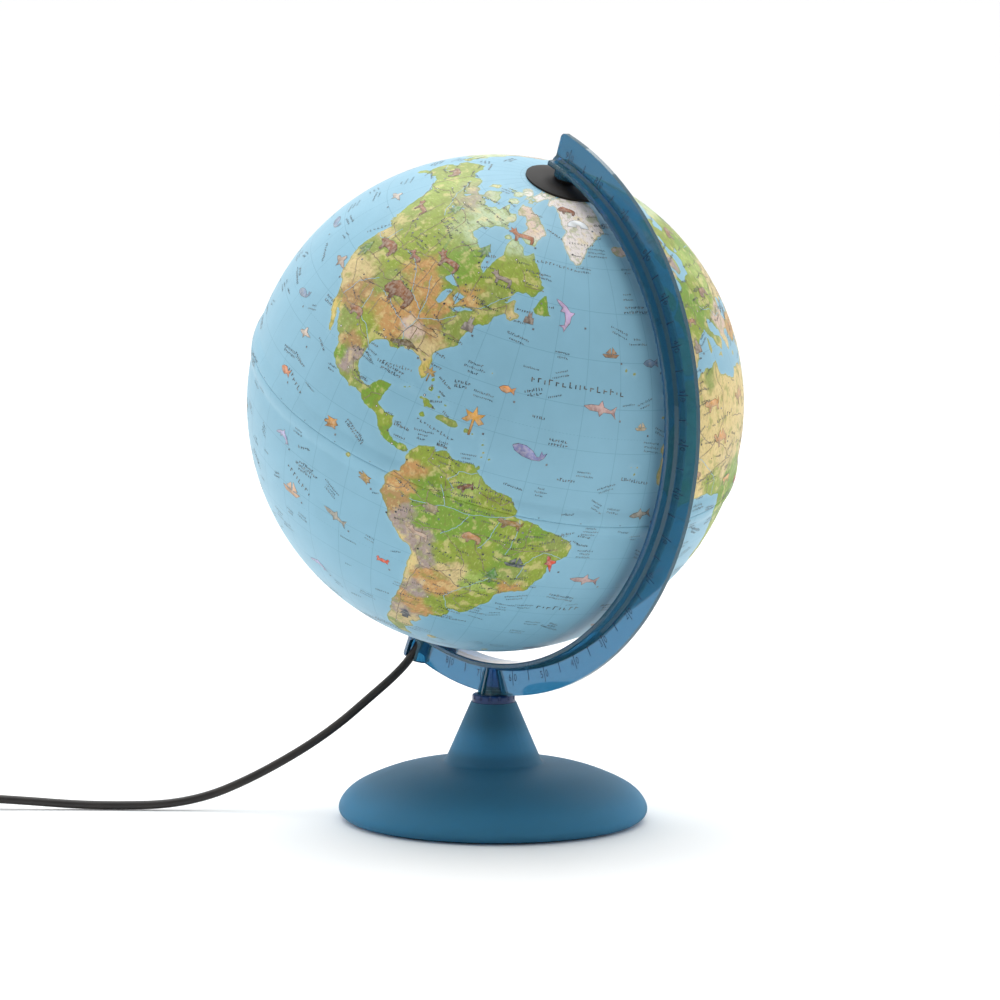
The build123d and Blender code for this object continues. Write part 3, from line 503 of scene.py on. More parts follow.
LAND = {
    "north_america": """-168,66 -162,70 -156,71.3 -141,69.7 -128,70.2 -115,68.5 -108,68 -96,68 -95,71.5
        -90,69 -85,69.5 -82,67 -87,64 -94,61 -94.5,58.8 -88,56.5 -82.3,55 -82,52.5 -79.5,51.3 -78.8,54
        -76.7,57 -78,60 -77.5,62.4 -71,61 -69,58.8 -65,60.3 -62,57.5 -60,55 -56,52.5 -60,50.2 -66,50.2
        -70,47 -65,48.8 -65,46.5 -61,45.5 -64,44.5 -66,44 -67,45 -70,43.5 -70.5,42 -74,40.7 -75.5,38
        -76,36.8 -75.8,35.3 -78,34 -81,31.5 -80,27 -80.5,25.2 -82,26.5 -82.8,29 -84.2,30 -89,30.2 -90,29
        -94,29.5 -97.2,27.8 -97.7,24 -97.3,21 -95.5,18.8 -92,18.6 -90.5,21 -87,21.4 -88,18.3 -88.5,15.9
        -83.2,15 -83.7,11 -81.5,9 -79.5,9.5 -77.3,8.5 -78.3,7.6 -80,7.4 -83,8.3 -85.8,10.2 -87.5,13
        -91.5,14 -94.5,16.2 -99,16.8 -103.5,18.5 -105.6,20.3 -106,23 -109.3,25.8 -112.5,29 -114.7,31.7
        -112.8,28.4 -110.5,24.5 -109.5,23 -112,25 -114.5,27.5 -116,30.3 -117.2,32.6 -120.6,34.5
        -122.4,37.5 -124.3,40.4 -124.1,46 -123,48.7 -127.5,51.2 -130.5,54.8 -134,58.3 -139.7,59.7
        -146,60.8 -151,59.3 -154,59 -158,56.2 -163,54.8 -157.5,58.6 -162,59.5 -165.5,61.5 -164.5,63.2
        -161,64.5 -166,64.6""",
    "south_america": """-77.3,8.5 -75.5,10.8 -72,12 -71.5,10.8 -69.5,12 -66,10.6 -62,10.7 -60,8.5 -57,6
        -52,4.8 -50,1.5 -50,-0.5 -46,-1.2 -41,-3 -37,-4.8 -35,-6.5 -35.2,-9.5 -38.5,-13 -39,-17.5 -41,-22
        -45,-23.3 -48.5,-26 -49,-28.8 -52.5,-33 -54.5,-34.9 -58.3,-34 -57,-36.5 -58.5,-38.6 -62.2,-39
        -62.5,-41 -65,-41 -64,-42.7 -65.5,-45 -67.5,-46 -66,-48 -69,-50.5 -68.5,-52.5 -66,-54.8 -70,-55.2
        -74,-52.5 -75.5,-49 -74,-44 -73.7,-38 -71.7,-33 -71,-28 -70.3,-20 -71.5,-17.5 -76,-14 -78.5,-9.5
        -81.2,-6 -80.3,-3.3 -80.8,-1 -80,0.5 -77.8,2.3 -77.3,5 -77.8,7""",
    "africa": """-5.9,35.8 -2,35.1 3,36.8 9.8,37.3 11,33.8 15.5,32.3 20,31 22,32.8 29,31 32.5,31.2 34,27.5
        37.2,21 39.5,15.5 43.2,12 51.2,11.8 48,4.5 43.5,0 39.5,-4.5 40.5,-11 40,-16 35,-20 35.5,-24
        32.8,-26 32.5,-28.5 28,-33 22,-34.1 18.4,-34 16.5,-28.5 14.3,-22 11.8,-17.5 13.7,-11 12.2,-6
        8.8,-1 9.7,3.8 6,4.4 1,6 -7.5,4.4 -13.2,8.8 -16.8,12.4 -17.4,14.7 -16.2,19.5 -17,21 -14,26
        -9.8,29.8 -9.6,32""",
    "eurasia": """-5.5,36.1 -2,36.8 0,38.7 3,42 6,43.2 9,44.3 12,42 16,38.2 18.4,40.2 14,42.5 12.5,44.2
        13.7,45.7 19,42 20,39.5 22,36.6 24,38 23,40.4 26,40.8 27,38.5 28,36.7 32,36.2 36,36.5 35,33
        34.3,31.2 32.6,31.1 34.8,29.5 36.5,25.5 39,21 42.7,16 43.5,12.7 48,14 54,17 57.8,19 59.8,22.5
        57,24.5 54.5,24.2 51.5,25 50,27.5 48,30 51,28.5 54.5,26.6 58,25.6 61.5,25.1 66.5,25.3 68.5,23.2
        70.5,21 72.8,20 74.5,14.5 77.5,8.1 80.2,13 80.3,15.8 85.5,19.8 88.5,21.8 91,22.5 92.3,20.7 94.3,17
        95.5,15.8 97.5,16.5 98.6,11 98.3,8 100.5,5.5 103.8,1.4 103.4,4.5 100.5,7.5 99.5,10 100.5,13.4
        102.5,12 105,8.7 109,11.5 108.5,15.5 106,18.8 108,21.5 110.3,21 114,22.3 119,25.5 121.8,29
        121.8,31.5 119.5,35 122.3,37 118.5,38.5 121.5,40.8 124.5,39.8 126.5,37 126.5,34.5 129.3,35.5
        128,38.8 130.7,42.3 135,43.5 140.3,48.5 141,53 137,54 142,59 151,59.3 156,61.5 160,61.7 156,57
        156.7,51.2 162,56 163.5,60 171,60.2 179,62.3 177.5,64.7 188,64.5 190,66 180,68.9 170,69.8 160,69.7
        150,71.5 140,72.5 130,71 127,73.3 113,73.7 105,77.5 98,76 87,75 80,73 73,71.5 69,73 68,68.5 60,69
        54,68.5 46,68 44,66.2 40,64.7 35,64.3 33,66.7 41,66.7 40,68 33,69.3 28,71 20,70 14,67.5 10,64
        5,61.8 5.5,59 8,58.1 10.7,59.2 12,57 13,55.5 16,56.3 18.5,59.5 17.2,61 21,64.5 24,65.8 25,64.8
        21.5,61.5 23,59.9 29,60 24,59.3 24,57.2 21,56.5 19.5,54.4 14,54 11,54.2 10,57.6 8.2,56.5 8.7,54
        5,53.2 3.5,51.4 1.6,50.8 -1.5,49.6 -4.7,48.4 -1.8,46.5 -1.5,43.4 -8,43.7 -9,42 -9.4,38.8 -8.8,37.1
        -6.3,36.8""",
    "greenland": """-43.5,60 -48,61 -51.5,64.5 -53.5,67 -51,69.5 -54.5,71 -58,75 -68,76.2 -72,78.3
        -65,80.5 -58,82.2 -35,83.5 -22,82.2 -18,80 -19,76.5 -22,73 -22.5,70.2 -31,68.2 -38,65.7 -41,62.5""",
    "baffin": "-62,66.5 -68,70 -78,72.8 -88,73.5 -85,70 -78,69.5 -73,66.5 -75,64.5 -66,62 -65,64.5",
    "victoria": "-117,71 -112,73 -105,71.5 -102,69 -112,68.5 -116,69.5",
    "banks": "-125,72.5 -120,74.3 -116,73 -122,71.3",
    "ellesmere": "-62,82.5 -75,83 -90,81.5 -87,79.5 -90,76.5 -80,76.2 -76,78.5 -68,80.5",
    "devon": "-80,75.5 -92,76.3 -91,74.8 -80,74.6",
    "somerset": "-92,73.8 -97,73.8 -101,73 -96,71.8 -91,72.5",
    "melville": "-106,76.5 -117,76.3 -112,74.8 -105,75",
    "southampton": "-81,64 -85,65.8 -87,63.7",
    "newfoundland": "-59.3,47.7 -56,51.5 -53,47.2 -55.5,46.9",
    "vancouver": "-123.5,48.4 -128,50.8 -126.5,49.4",
    "iceland": "-22.5,64 -24,65.5 -22,66.4 -15,66.2 -13.6,65 -18.5,63.4",
    "cuba": "-84.8,21.9 -82.5,23.1 -77,21.8 -74.2,20.2 -77.6,19.9 -78.5,21.5 -82,22.3",
    "hispaniola": "-74.4,18.5 -73,19.9 -69.8,19.7 -68.4,18.5 -71,17.8",
    "madagascar": "49.3,-12 50.4,-15.5 47.2,-25 44.3,-24.5 43.8,-21 44.5,-16.2",
    "britain": "-5.5,50.1 1.3,51.3 1.6,52.8 -1.5,55 -2,57.6 -5,58.6 -5.8,56.5 -3,54.5 -4.5,53 -5,51.7",
    "ireland": "-10,51.6 -6.3,52.2 -6,54.5 -8.2,55.2 -10,54",
    "svalbard": "11,79 18,80.3 25,80 22,78.5 16.5,76.7",
    "novaya": "52,71 57,74 68,76.8 60,75.5 56,71",
    "severnaya": "95,79 100,81 104,79",
    "sardinia": "8.4,39 8.6,43 9.5,42 9.7,39.3",
    "sicily": "12.5,38 15.6,38.2 15.1,36.7",
    "ceylon": "79.8,9 81.8,7 80.2,6",
    "taiwan": "120.2,23 121.8,25 121,22",
    "honshu": """130,31.5 131.8,34 136,35.7 139.8,40 141,41.4 141.9,39.5 140.8,35.7 138,34.7 135.5,33.6
        131.5,31.5""",
    "hokkaido": "140,42 141.8,45.4 145.3,43.5 143,42",
    "sakhalin": "142,46 142.2,53.5 143.5,51.5 143,48",
    "sumatra": "95.3,5.6 100,3 104,-0.5 106,-3.5 105,-5.8 101.5,-3 98.5,1.5",
    "java": "105.3,-6.8 110.5,-6.5 114.4,-8 108.5,-7.8",
    "borneo": "109,1.8 113,3.5 117,7 119,5 117.5,1 116,-4 111,-3.2 109.5,-0.5",
    "sulawesi": "119.5,-5.5 120,0.8 125,1.5 121,-1 122.5,-5",
    "new_guinea": "131,-0.8 137.5,-1.6 141,-2.6 147,-6 150.5,-10.3 146,-9 143,-8.8 138.5,-8 137.5,-5 133,-4",
    "luzon": "120,16 120.7,18.5 122.2,18.3 123.5,13 121,13.8",
    "mindanao": "122,7.5 125.5,9.7 126.3,7 124.5,6",
    "australia": """114,-22 117,-20.7 122,-18 126,-14.2 130.8,-12.5 132.5,-11.2 137,-12.2 135.5,-15
        140.5,-17.6 142.5,-10.8 145.3,-15 149,-20.5 153,-25.5 153.3,-29 150.5,-35.5 146.5,-39 141,-38.3
        138,-35.6 131,-31.6 124,-33.2 118,-35 115,-34.2 115.7,-31.5 113.5,-26""",
    "tasmania": "144.7,-40.8 148.3,-41 147,-43.5",
    "north_island": "173,-34.8 178.4,-37.8 175.3,-41.5 173.8,-39.3 174.7,-37",
    "south_island": "172.7,-40.6 174.2,-41.8 171,-45.5 168.5,-46.6 166.6,-45.8 171,-42.3",
    "antarctica": """-180,-78 -160,-78 -150,-76.5 -130,-74 -110,-74.5 -100,-72.5 -80,-73 -67,-68 -58,-63.5
        -62,-70 -62,-76 -45,-78 -30,-76 -10,-71 20,-70 45,-67.5 60,-67 75,-69 90,-66.5 120,-66.7 145,-67
        165,-71 168,-78 180,-78 180,-90 -180,-90""",
}
WATER = {
    "black_sea": "28,43 31,46.3 33,45.8 33.7,44.4 37,45 39,44.2 41.5,42 38,41 35,42 31,41.2",
    "caspian": "47,45 51.5,47 53,45 51,43.5 53,41.5 54,38 51,36.7 49,38 49.5,41 47.5,43",
    "aral": "58.5,45 61,46 60,44",
    "superior": "-92,46.7 -88.5,48.8 -84.7,46.8 -88,46.8",
    "michigan": "-88,42 -87.7,44.5 -85.3,45.8 -86.3,42",
    "huron": "-84.3,46 -80.5,45.5 -82,43 -83.7,44",
    "erie": "-83.3,41.8 -79,43 -76.3,43.8 -76.5,43.3 -79,42.6 -82,41.4",
    "winnipeg": "-99,54 -97,50.5 -98,52",
    "great_slave": "-117,61 -109,62.8 -112,61.2",
    "great_bear": "-125,66 -118,67 -119,65.3",
    "victoria_lake": "32,0.3 34.3,0 33,-2.5 31.8,-2",
    "baikal": "104,51.6 109.5,55.7 108.5,53",
}
# Small round islands: place and radius
ISLANDS = """-78,26.5,0.5 -77.6,24.4,0.6 -75.2,23.2,0.4 -73,22,0.4 -77.3,18.1,0.7 -66.4,18.2,0.6
    -64.7,17.9,0.3 -61.6,16.2,0.4 -61.1,14.6,0.4 -61.3,13.3,0.3 -59.5,13.2,0.3 -61.3,10.4,0.5 -62,17.5,0.3
    -69,12.3,0.3 -25.5,37.7,0.4 -28.3,38.5,0.4 -17,32.7,0.3 -16.5,28.3,0.5 -14,28.4,0.4 -24,15.1,0.4
    -25,17,0.3 -23.5,16.7,0.3 -90.7,-0.6,0.7 -155.6,19.6,0.7 -157.9,21.4,0.4 -59,-51.8,1.1 -81,80,0.8
    -95,77.5,1.3 -100,75.5,1.2 -99,78.3,1.2 -79.5,62,0.8 -73,68.3,1.4 178,-17.8,0.7 165.5,-21.3,0.8
    160,-9.5,0.8 167,-15.5,0.6 147,44.8,0.5 153,49,0.3 127.9,26.4,0.4 24.7,35.2,0.6 33,35,0.7 -15,-8,0.2
    57.5,-20.3,0.4 55.5,-21.1,0.4 -64.8,32.3,0.2 70,-49.3,1.0 -37,-54.3,0.8 134.5,50.2,0.1 115.2,-8.5,0.5
    118.3,-8.7,0.7 121,-8.7,0.6 125,-9.2,0.9"""
# Inks of the land: place, reach and ink
INKS = {
    "leaf": "8c9f36", "bright": "74992e", "pale": "9db458", "ochre": "c0925a", "tan": "cab683",
    "sand": "d8c284", "brown": "ab8758", "mauve": "a2918b", "pink": "cdb5a6", "ice": "e2dad7",
    "moss": "8a9a4c", "tundra": "b6c8a0",
    "yellow": "cdb765",
}
TINTS = """-135,62,14,pale -150,64,10,moss -118,66,9,mauve -125,60,7,leaf -112,57,10,leaf -98,60,9,tundra
    -95,67,7,tundra -100,54,7,leaf -88,52,7,bright -75,53,8,leaf -66,55,7,leaf -72,60,5,tundra
    -72,47,5,moss -79,45.5,3,ochre -65,46,3,tan -56,49,4,bright -120,54,6,moss -122,48,4,tan
    -118,44,5,moss -120,37,4,tan -115,39,5,tan -111,35,4,brown -106,40,4,moss -110,45,5,leaf
    -105,50,5,leaf -100,46,5,ochre -94,44,4,ochre -98,40,4,moss -94,38,4,ochre -88,40,4,ochre
    -99,34,5,ochre -102,31,4,leaf -94,32,3,ochre -89,34,3,pink -84,36,3,brown -83,32,3,tan -78,37,3,moss
    -80,40,3,moss -81.5,28,2,yellow -74,42,2.5,leaf -92,30.5,2,bright -98,29,3,leaf -113,27,2.5,yellow
    -108,28,3,moss -103,26,3,brown -101,22,3,mauve -104,21,2,bright -98,18,2.5,moss -92,16.5,2.5,bright
    -89,19.5,2,bright -86,14,3,leaf -83,10,2.5,bright -79,22,4,leaf -71,19,3,moss -74,9,3,leaf
    -74,4,3,ochre -76,-1,2.5,ochre -71,2,4,bright -66,7,4,leaf -62,4,4,pale -57,3,4,leaf -64,-4,7,bright
    -57,-6,6,bright -51,-4,5,leaf -45,-5,4,bright -40,-7,3.5,moss -38,-10,3,leaf -44,-11,4,leaf
    -49,-12,4,bright -55,-13,5,leaf -46,-17,3.5,moss -42,-18,3,leaf -50,-20,4,bright -47,-22,2.5,ochre
    -54,-22,3.5,pale -52,-27,3,leaf -55,-31,3,leaf -78,-6,2.5,brown -75,-10,2.5,mauve -70,-15,3,mauve
    -66,-19,3,mauve -73.5,-16.5,1.6,sand -70,-21,1.8,sand -70.5,-27,2,tan -63,-17,3,leaf -60,-22,3.5,tan
    -63,-27,4,ochre -67,-30,3,mauve -60,-34,4,leaf -66,-37,3.5,ochre -70,-41,3,mauve -69,-46,4,tan
    -71,-51,3,moss 0,23,13,sand 14,25,12,sand 27,25,11,sand -8,31,4,ochre 5,35,3,moss -5,17,5,tan
    12,15,6,tan 28,14,6,tan -8,10,4,leaf 5,9,4,leaf 18,6,6,bright 22,-2,8,bright 30,6,5,leaf 38,8,5,brown
    45,7,4,tan 36,-3,5,leaf 20,-13,7,leaf 32,-12,6,moss 22,-22,6,ochre 17,-25,4,tan 27,-28,5,moss
    47,-19,5,ochre -4,40,4,tan 2,46,4,leaf 10,50,4,bright 20,50,4,leaf 14,43,3,moss 22,43,3,pink
    33,39,4,ochre 10,61,4,mauve 17,66,4,pink 26,63,5,leaf 30,55,6,pale 42,57,6,bright 40,49,5,tan
    55,60,7,leaf 45,42,3,brown 44,33,5,sand 45,24,8,sand 54,33,5,brown 60,38,5,tan 60,48,7,tan
    70,44,6,sand 70,55,7,leaf 66,64,8,tundra 72,30,4,tan 76,23,5,ochre 78,15,4,moss 84,26,4,leaf
    84,33,6,mauve 90,33,6,pink 82,40,6,sand 96,36,5,brown 104,42,6,sand 92,50,5,moss 92,60,9,bright
    108,57,8,leaf 125,62,9,moss 105,70,9,tundra 145,66,9,pink 160,64,8,tundra 108,32,5,leaf
    116,30,4,bright 114,38,4,ochre 122,45,5,leaf 133,50,6,bright 98,24,3,leaf 102,17,4,bright
    107,13,3,leaf 113,0,6,bright 101,0,4,leaf 122,13,4,leaf 141,-5,6,bright 138,37,4,leaf 122,-25,9,ochre
    133,-24,8,brown 143,-24,6,tan 134,-15,4,leaf 147,-20,4,leaf 149,-33,4,bright 118,-33,3,leaf
    173,-41,6,leaf -42,72,14,ice -74,70,7,pink -110,72,8,tundra -85,80,8,ice 18,79,6,ice 58,74,6,ice
    0,-80,12,ice 60,-74,12,ice 120,-74,12,ice 165,-78,12,ice -150,-79,12,ice -105,-77,12,ice
    -68,-74,10,ice -20,-78,12,ice 0,-90,14,ice -18,65,4,pink"""
RIVERS = """-50,0 -55,-2 -60,-3.2 -66,-3 -70,-4 -74,-4.5 / -58.5,-34 -60,-30 -57.5,-27 -54.5,-24 -51,-20 /
    -61,9 -65,8 -67,5 -65,3 / -36.5,-10.5 -41,-9.5 -44.5,-14 -45,-19 / -52,-1.5 -54,-7 -56,-12 / -60,-3.2
    -62,-8 -65,-11 / -49,-1 -48.5,-6 -49.5,-12 / -66,-3 -67,1 -68,3 / -89.5,29.5 -91,33 -89.5,37 -91,42
    -94,46 / -90.5,38.7 -96,41 -101,46 -108,47.5 / -89.5,37 -84,38.5 -80,41 / -91,34 -97,36 -104,38 /
    -97,26 -101,29.5 -106,32 -107,37 / -114.5,32 -113,36.5 -108,39.5 / -124,46 -119,46 -118,50 / -134,68.5
    -124,64 -117,61 -112,58 / -66,49.5 -71,47 -76,44 / -164,62 -156,62 -145,66 / 31,31 31,27 32.5,22 31,18
    33,14 32,8 31,2 / 12.4,-6 16,-3 20,2 25,1 26,-5 28,-11 / 6,4.5 6,9 1,14 -3,17 -8,12 / 36,-18.5 30,-16
    25,-17.5 23,-13 / 29,45 22,44.5 19,47 13,48.5 / 48,46 45,49 49,54 40,57 / 69,67 66,61 75,57 82,53 /
    83,71 88,65 92,56 96,51 / 127,72 125,64 115,60 106,55 / 140,53 133,48 120,53 / 121,31.5 112,30 104,29
    98,34 / 118,38 110,35 110,40 101,36 / 106,10 105,16 100,21 95,30 / 89,22.5 83,25.5 78,29 / 67.5,24
    71,30 76,34 / 139,-35 144,-34 148,-31""".split("/")
BORDERS = """-123,49 -95,49 -88.5,48.3 -83,46 -82.5,42.5 -76.5,44 -71,45.2 -67.5,47 -67,45 / -117,32.5
    -111,31.4 -106.5,31.8 -103,29 -99.5,27.5 -97.3,26 / -92,15 -91,17.5 -88.5,18 / -141,69.6 -141,60
    -130,56 / -138,60 -102,60 / -120,60 -120,54 -114,49 / -110,60 -110,49 / -102,60 -101.5,49 / -95,49
    -95,53 -89,57 / -79.5,51 -79.5,46 / -67,55 -64,52 -57,52 / -117,49 -117,42 / -120,42 -111,42 -111,41
    -102,41 / -120,42 -120,39 -114.5,35 / -109,41 -109,31.5 / -104,49 -104,41 -102,37 / -114,37 -94.6,37
    -89.5,36.5 -76,36.5 / -104,43 -91,43.5 / -104,46 -96.5,46 / -96.5,49 -96,43 -95,40 -94.5,33.5 / -91,47
    -91,40 -89,37 -91,33 -91.5,31 / -87.5,41.5 -88,38 / -88.2,35 -88.3,30.5 / -85,41.7 -84.8,39 / -85.5,35
    -85,31 / -80.5,42 -80.5,39.7 -82.5,38 / -90,35 -82,35 / -94,33 -91,33 / -88,31 -81.5,30.7 / -75,42
    -75,39.7 / -103,32 -103,36.5 -100,36.5 / -111,49 -111,45 -104,45 / -51.5,4 -54,2.3 -60,5 -64,4 -67,1.5
    -70,0.5 -70,-4 -73.5,-7 -72,-10 -69,-11 -65,-10 -60,-14 -58,-17 -58,-20 / -58,-20 -57.5,-22 -54.5,-24
    -54,-26 -57.5,-30 -53.5,-33.5 / -71.5,11.5 -72.5,8 -67.5,6 -67,1.5 / -79,1.5 -75,0 -70,-4 / -80.3,-3.5
    -77,-3 -75,0 / -69,-11 -69,-16 -69.5,-17.5 -70,-18.3 / -69.5,-18 -67.5,-22.5 -69.5,-28 -70.5,-33
    -71.3,-40 -72,-46 -72.5,-50 -68.6,-52.5 / -67.5,-22.5 -62.5,-22 -58.5,-20 / -62.5,-22 -57.7,-25.3
    -54.6,-25.5 / -60,5 -60,8 / -57,2 -57.5,6 / -54,2.3 -54,5.5 / -46,-1.2 -46,-10 -50,-13 / -57,-8
    -50,-10 -46,-10 -41,-9 -38,-8 / -61,-9 -57,-8 -53,-18 -48,-20 -45,-22 / -100,23 -98,19 -94,18 / -1,35
    -1,32 -9,28 -9,22 / 9,37 8,33 10,30 9,24 3,19 -5,25 -9,27 / 25,32 25,22 37,22 / 15,23 24,20 24,13
    34,10 / -12,15 -5,16 4,20 12,14 14,13 / 3,6.5 3,12 13,13 / -8,5 -6,10 -11,12 / 14,13 15,8 9,4.5 /
    23,11 27,5 34,5 42,4 / 30,-1 29,-8 34,-10 / 12,-17 21,-17 25,-18 32,-16 / 20,-28 20,-18 / 25,-18
    29,-22 31,-25 / 34,-1 41,-2 42,10 / -7,42 -7,37 / -2,43.3 3,42.4 / 7.6,44 6,46 8,49 4,51 / 14,54 15,51
    12,50 13,48 / 24,54 23,50 29,48 28,45 / 28,60 30,66 28,70 / 28,56 32,52 40,49 38,47 / 12,59 12,62
    20,69 / 44,40 48,37 44,37 42,37 / 48,47 50,51 61,51 76,54 87,49 / 87,49 98,52 116,50 127,50 131,48
    131,43 / 44,37 48,30 43,31 38,32 / 61,25 61,35 67,38 75,37 78,32 88,28 97,28 / 74,37 80,42 87,49 /
    70,24 75,32 / 97,28 98,21 106,22 / 98,19 103,15 105,11 / 129,-15 129,-31 / 138,-17 138,-26 141,-34 /
    141,-29 153,-28.5 / 129,-26 138,-26""".split("/")

# Shortest run of a drawn coast in degrees, and how far its middle may shift, as a share of its length
MAP_GRAIN = 0.5
COAST_WANDER = 0.13
ROUTE_WANDER = 0.09
# How many degrees the flat print is pulled toward the seam
PULL_NORTH = 3.0
PULL_SOUTH = 2.0
# Shape of the ridge at the equator, and the groove where the two halves meet
RIDGE_CURVE = 2.2
SEAM_GROOVE = 0.3 * MM
# Height of a layer of ink over the one below
LIFT = 0.05 * MM


def points_of(text):
    """An outline's points from its text."""
    return np.array([[float(number) for number in pair.split(",")] for pair in text.split()])


def roughened(points, closed, seed, wander=COAST_WANDER):
    """Breaks each run again and again at a shifted middle, so that a drawn coast looks like a real one."""
    chance = random.Random(seed)
    ends = [Vector(point) for point in points]
    if closed:
        ends.append(ends[0].copy())
    route = [ends[0]]
    for before, after in zip(ends, ends[1:]):
        runs = [before, after]
        while (runs[1] - runs[0]).length > MAP_GRAIN:
            split = [runs[0]]
            for first, last in zip(runs, runs[1:]):
                along = last - first
                aside = Vector((-along.y, along.x)) * chance.uniform(-wander, wander)
                split += [(first + last) / 2 + aside, last]
            runs = split
        route += runs[1:]
    return np.array([tuple(point) for point in (route[:-1] if closed else route)])


def seam_radius(height, sizes):
    """How far the skin is from the axis near the equator, where it rises over the joining ring."""
    radius = RIDGE_RADIUS - sizes.rise
    share = min(1.0, abs(height) / sizes.ridge)
    edge = math.sqrt(radius ** 2 - sizes.ridge ** 2)
    groove = max(0.0, SEAM_GROOVE - abs(height))
    return edge + (RIDGE_RADIUS - edge) * (1 - share ** RIDGE_CURVE) - groove


def shown_latitude(latitude):
    """Where a parallel lands: drawing the flat print over a dome pulls the tropics toward the seam."""
    if 0 < latitude < 54:
        return latitude - PULL_NORTH * math.sin(math.radians(3.3 * latitude)) ** 0.7
    if -60 < latitude < 0:
        return latitude + PULL_SOUTH * math.sin(math.radians(-3 * latitude)) ** 0.9
    return latitude


def on_globe(longitude, latitude, sizes, lift=0.0):
    """The point on the globe's skin at a place of the map."""
    true = math.radians(shown_latitude(latitude))
    radius = RIDGE_RADIUS - sizes.rise
    height = radius * math.sin(true)
    out = radius * math.cos(true)
    if abs(height) < sizes.ridge:
        out = seam_radius(height, sizes)
    out += lift * math.cos(true)
    turn = math.radians(longitude) - sizes.map_turn
    flat = EAST * math.cos(turn) + ACROSS * math.sin(turn)
    return CENTRE + flat * out + NORTH * (height + lift * math.sin(true))


class Chart:
    """The drawn coasts: which places are land, and how far each is from the nearest coast, in degrees."""

    LAST_COAST = -82

    def __init__(self):
        self.land = [roughened(points_of(text), True, name) for name, text in LAND.items()]
        self.water = [roughened(points_of(text), True, name) for name, text in WATER.items()]
        for island in ISLANDS.split():
            longitude, latitude, reach = (float(number) for number in island.split(","))
            turns = np.radians(np.arange(0, 360, 30))
            wide = reach / math.cos(math.radians(latitude))
            self.land.append(np.stack([longitude + wide * np.cos(turns),
                                       latitude + reach * np.sin(turns)], 1))
        shore = np.concatenate(self.land + self.water)
        # The lower edge of the southern land is no coast
        shore = shore[shore[:, 1] > self.LAST_COAST]
        self.tree = kdtree.KDTree(len(shore))
        for number, (longitude, latitude) in enumerate(shore):
            self.tree.insert(self.direction(longitude, latitude), number)
        self.tree.balance()

    @staticmethod
    def direction(longitude, latitude):
        """The unit direction of a place."""
        turn, rise = math.radians(longitude), math.radians(latitude)
        return (math.cos(rise) * math.cos(turn), math.cos(rise) * math.sin(turn), math.sin(rise))

    @staticmethod
    def within(outline, longitudes, latitude):
        """Which longitudes of one parallel lie inside an outline."""
        ahead = np.roll(outline, -1, 0)
        crossing = (outline[:, 1] > latitude) != (ahead[:, 1] > latitude)
        first, last = outline[crossing], ahead[crossing]
        share = (latitude - first[:, 1]) / (last[:, 1] - first[:, 1])
        edges = np.sort(first[:, 0] + share * (last[:, 0] - first[:, 0]))
        inside = np.searchsorted(edges, longitudes) % 2 == 1
        return inside | (np.searchsorted(edges, longitudes + 360) % 2 == 1)

    def is_land(self, longitudes, latitude):
        """Which longitudes of one parallel are land."""
        dry = np.zeros(len(longitudes), bool)
        for outline in self.land:
            dry |= self.within(outline, longitudes, latitude)
        for outline in self.water:
            dry &= ~self.within(outline, longitudes, latitude)
        return dry

    def from_coast(self, longitudes, latitude):
        """Degrees from the coast along one parallel, above 0 on land."""
        dry = self.is_land(longitudes, latitude)
        away = [math.degrees(self.tree.find(self.direction(longitude, latitude))[2])
                for longitude in longitudes]
        return np.where(dry, 1, -1) * np.array(away)


@functools.cache
def drawn_chart():
    """The one chart that the map's steps share."""
    return Chart()


def land_inks(places):
    """The ink of each place, blended from the nearest tints with wandering edges."""
    spots, inks = [], []
    for spot in TINTS.split():
        longitude, latitude, reach, ink = spot.split(",")
        spots.append((*Chart.direction(float(longitude), float(latitude)), math.radians(float(reach))))
        inks.append(shade(INKS[ink]))
    spots, inks = np.array(spots), np.array(inks)
    # Unseeded vector noise would differ from run to run
    noise.seed_set(11)
    wander = np.array([noise.noise_vector(Vector(place) * 14) * 0.035
                       + noise.noise_vector(Vector(place) * 45) * 0.02 for place in places])
    near = places + wander
    colours = np.zeros((len(places), 3))
    weights = np.zeros((len(places), 1))
    for spot, ink in zip(spots, inks):
        away = ((near - spot[:3]) ** 2).sum(1, keepdims=True)
        weight = np.exp(-2.2 * away / spot[3] ** 2) ** 2 + 1e-9 / (away + 1e-3)
        colours += weight * ink
        weights += weight
    return colours / weights


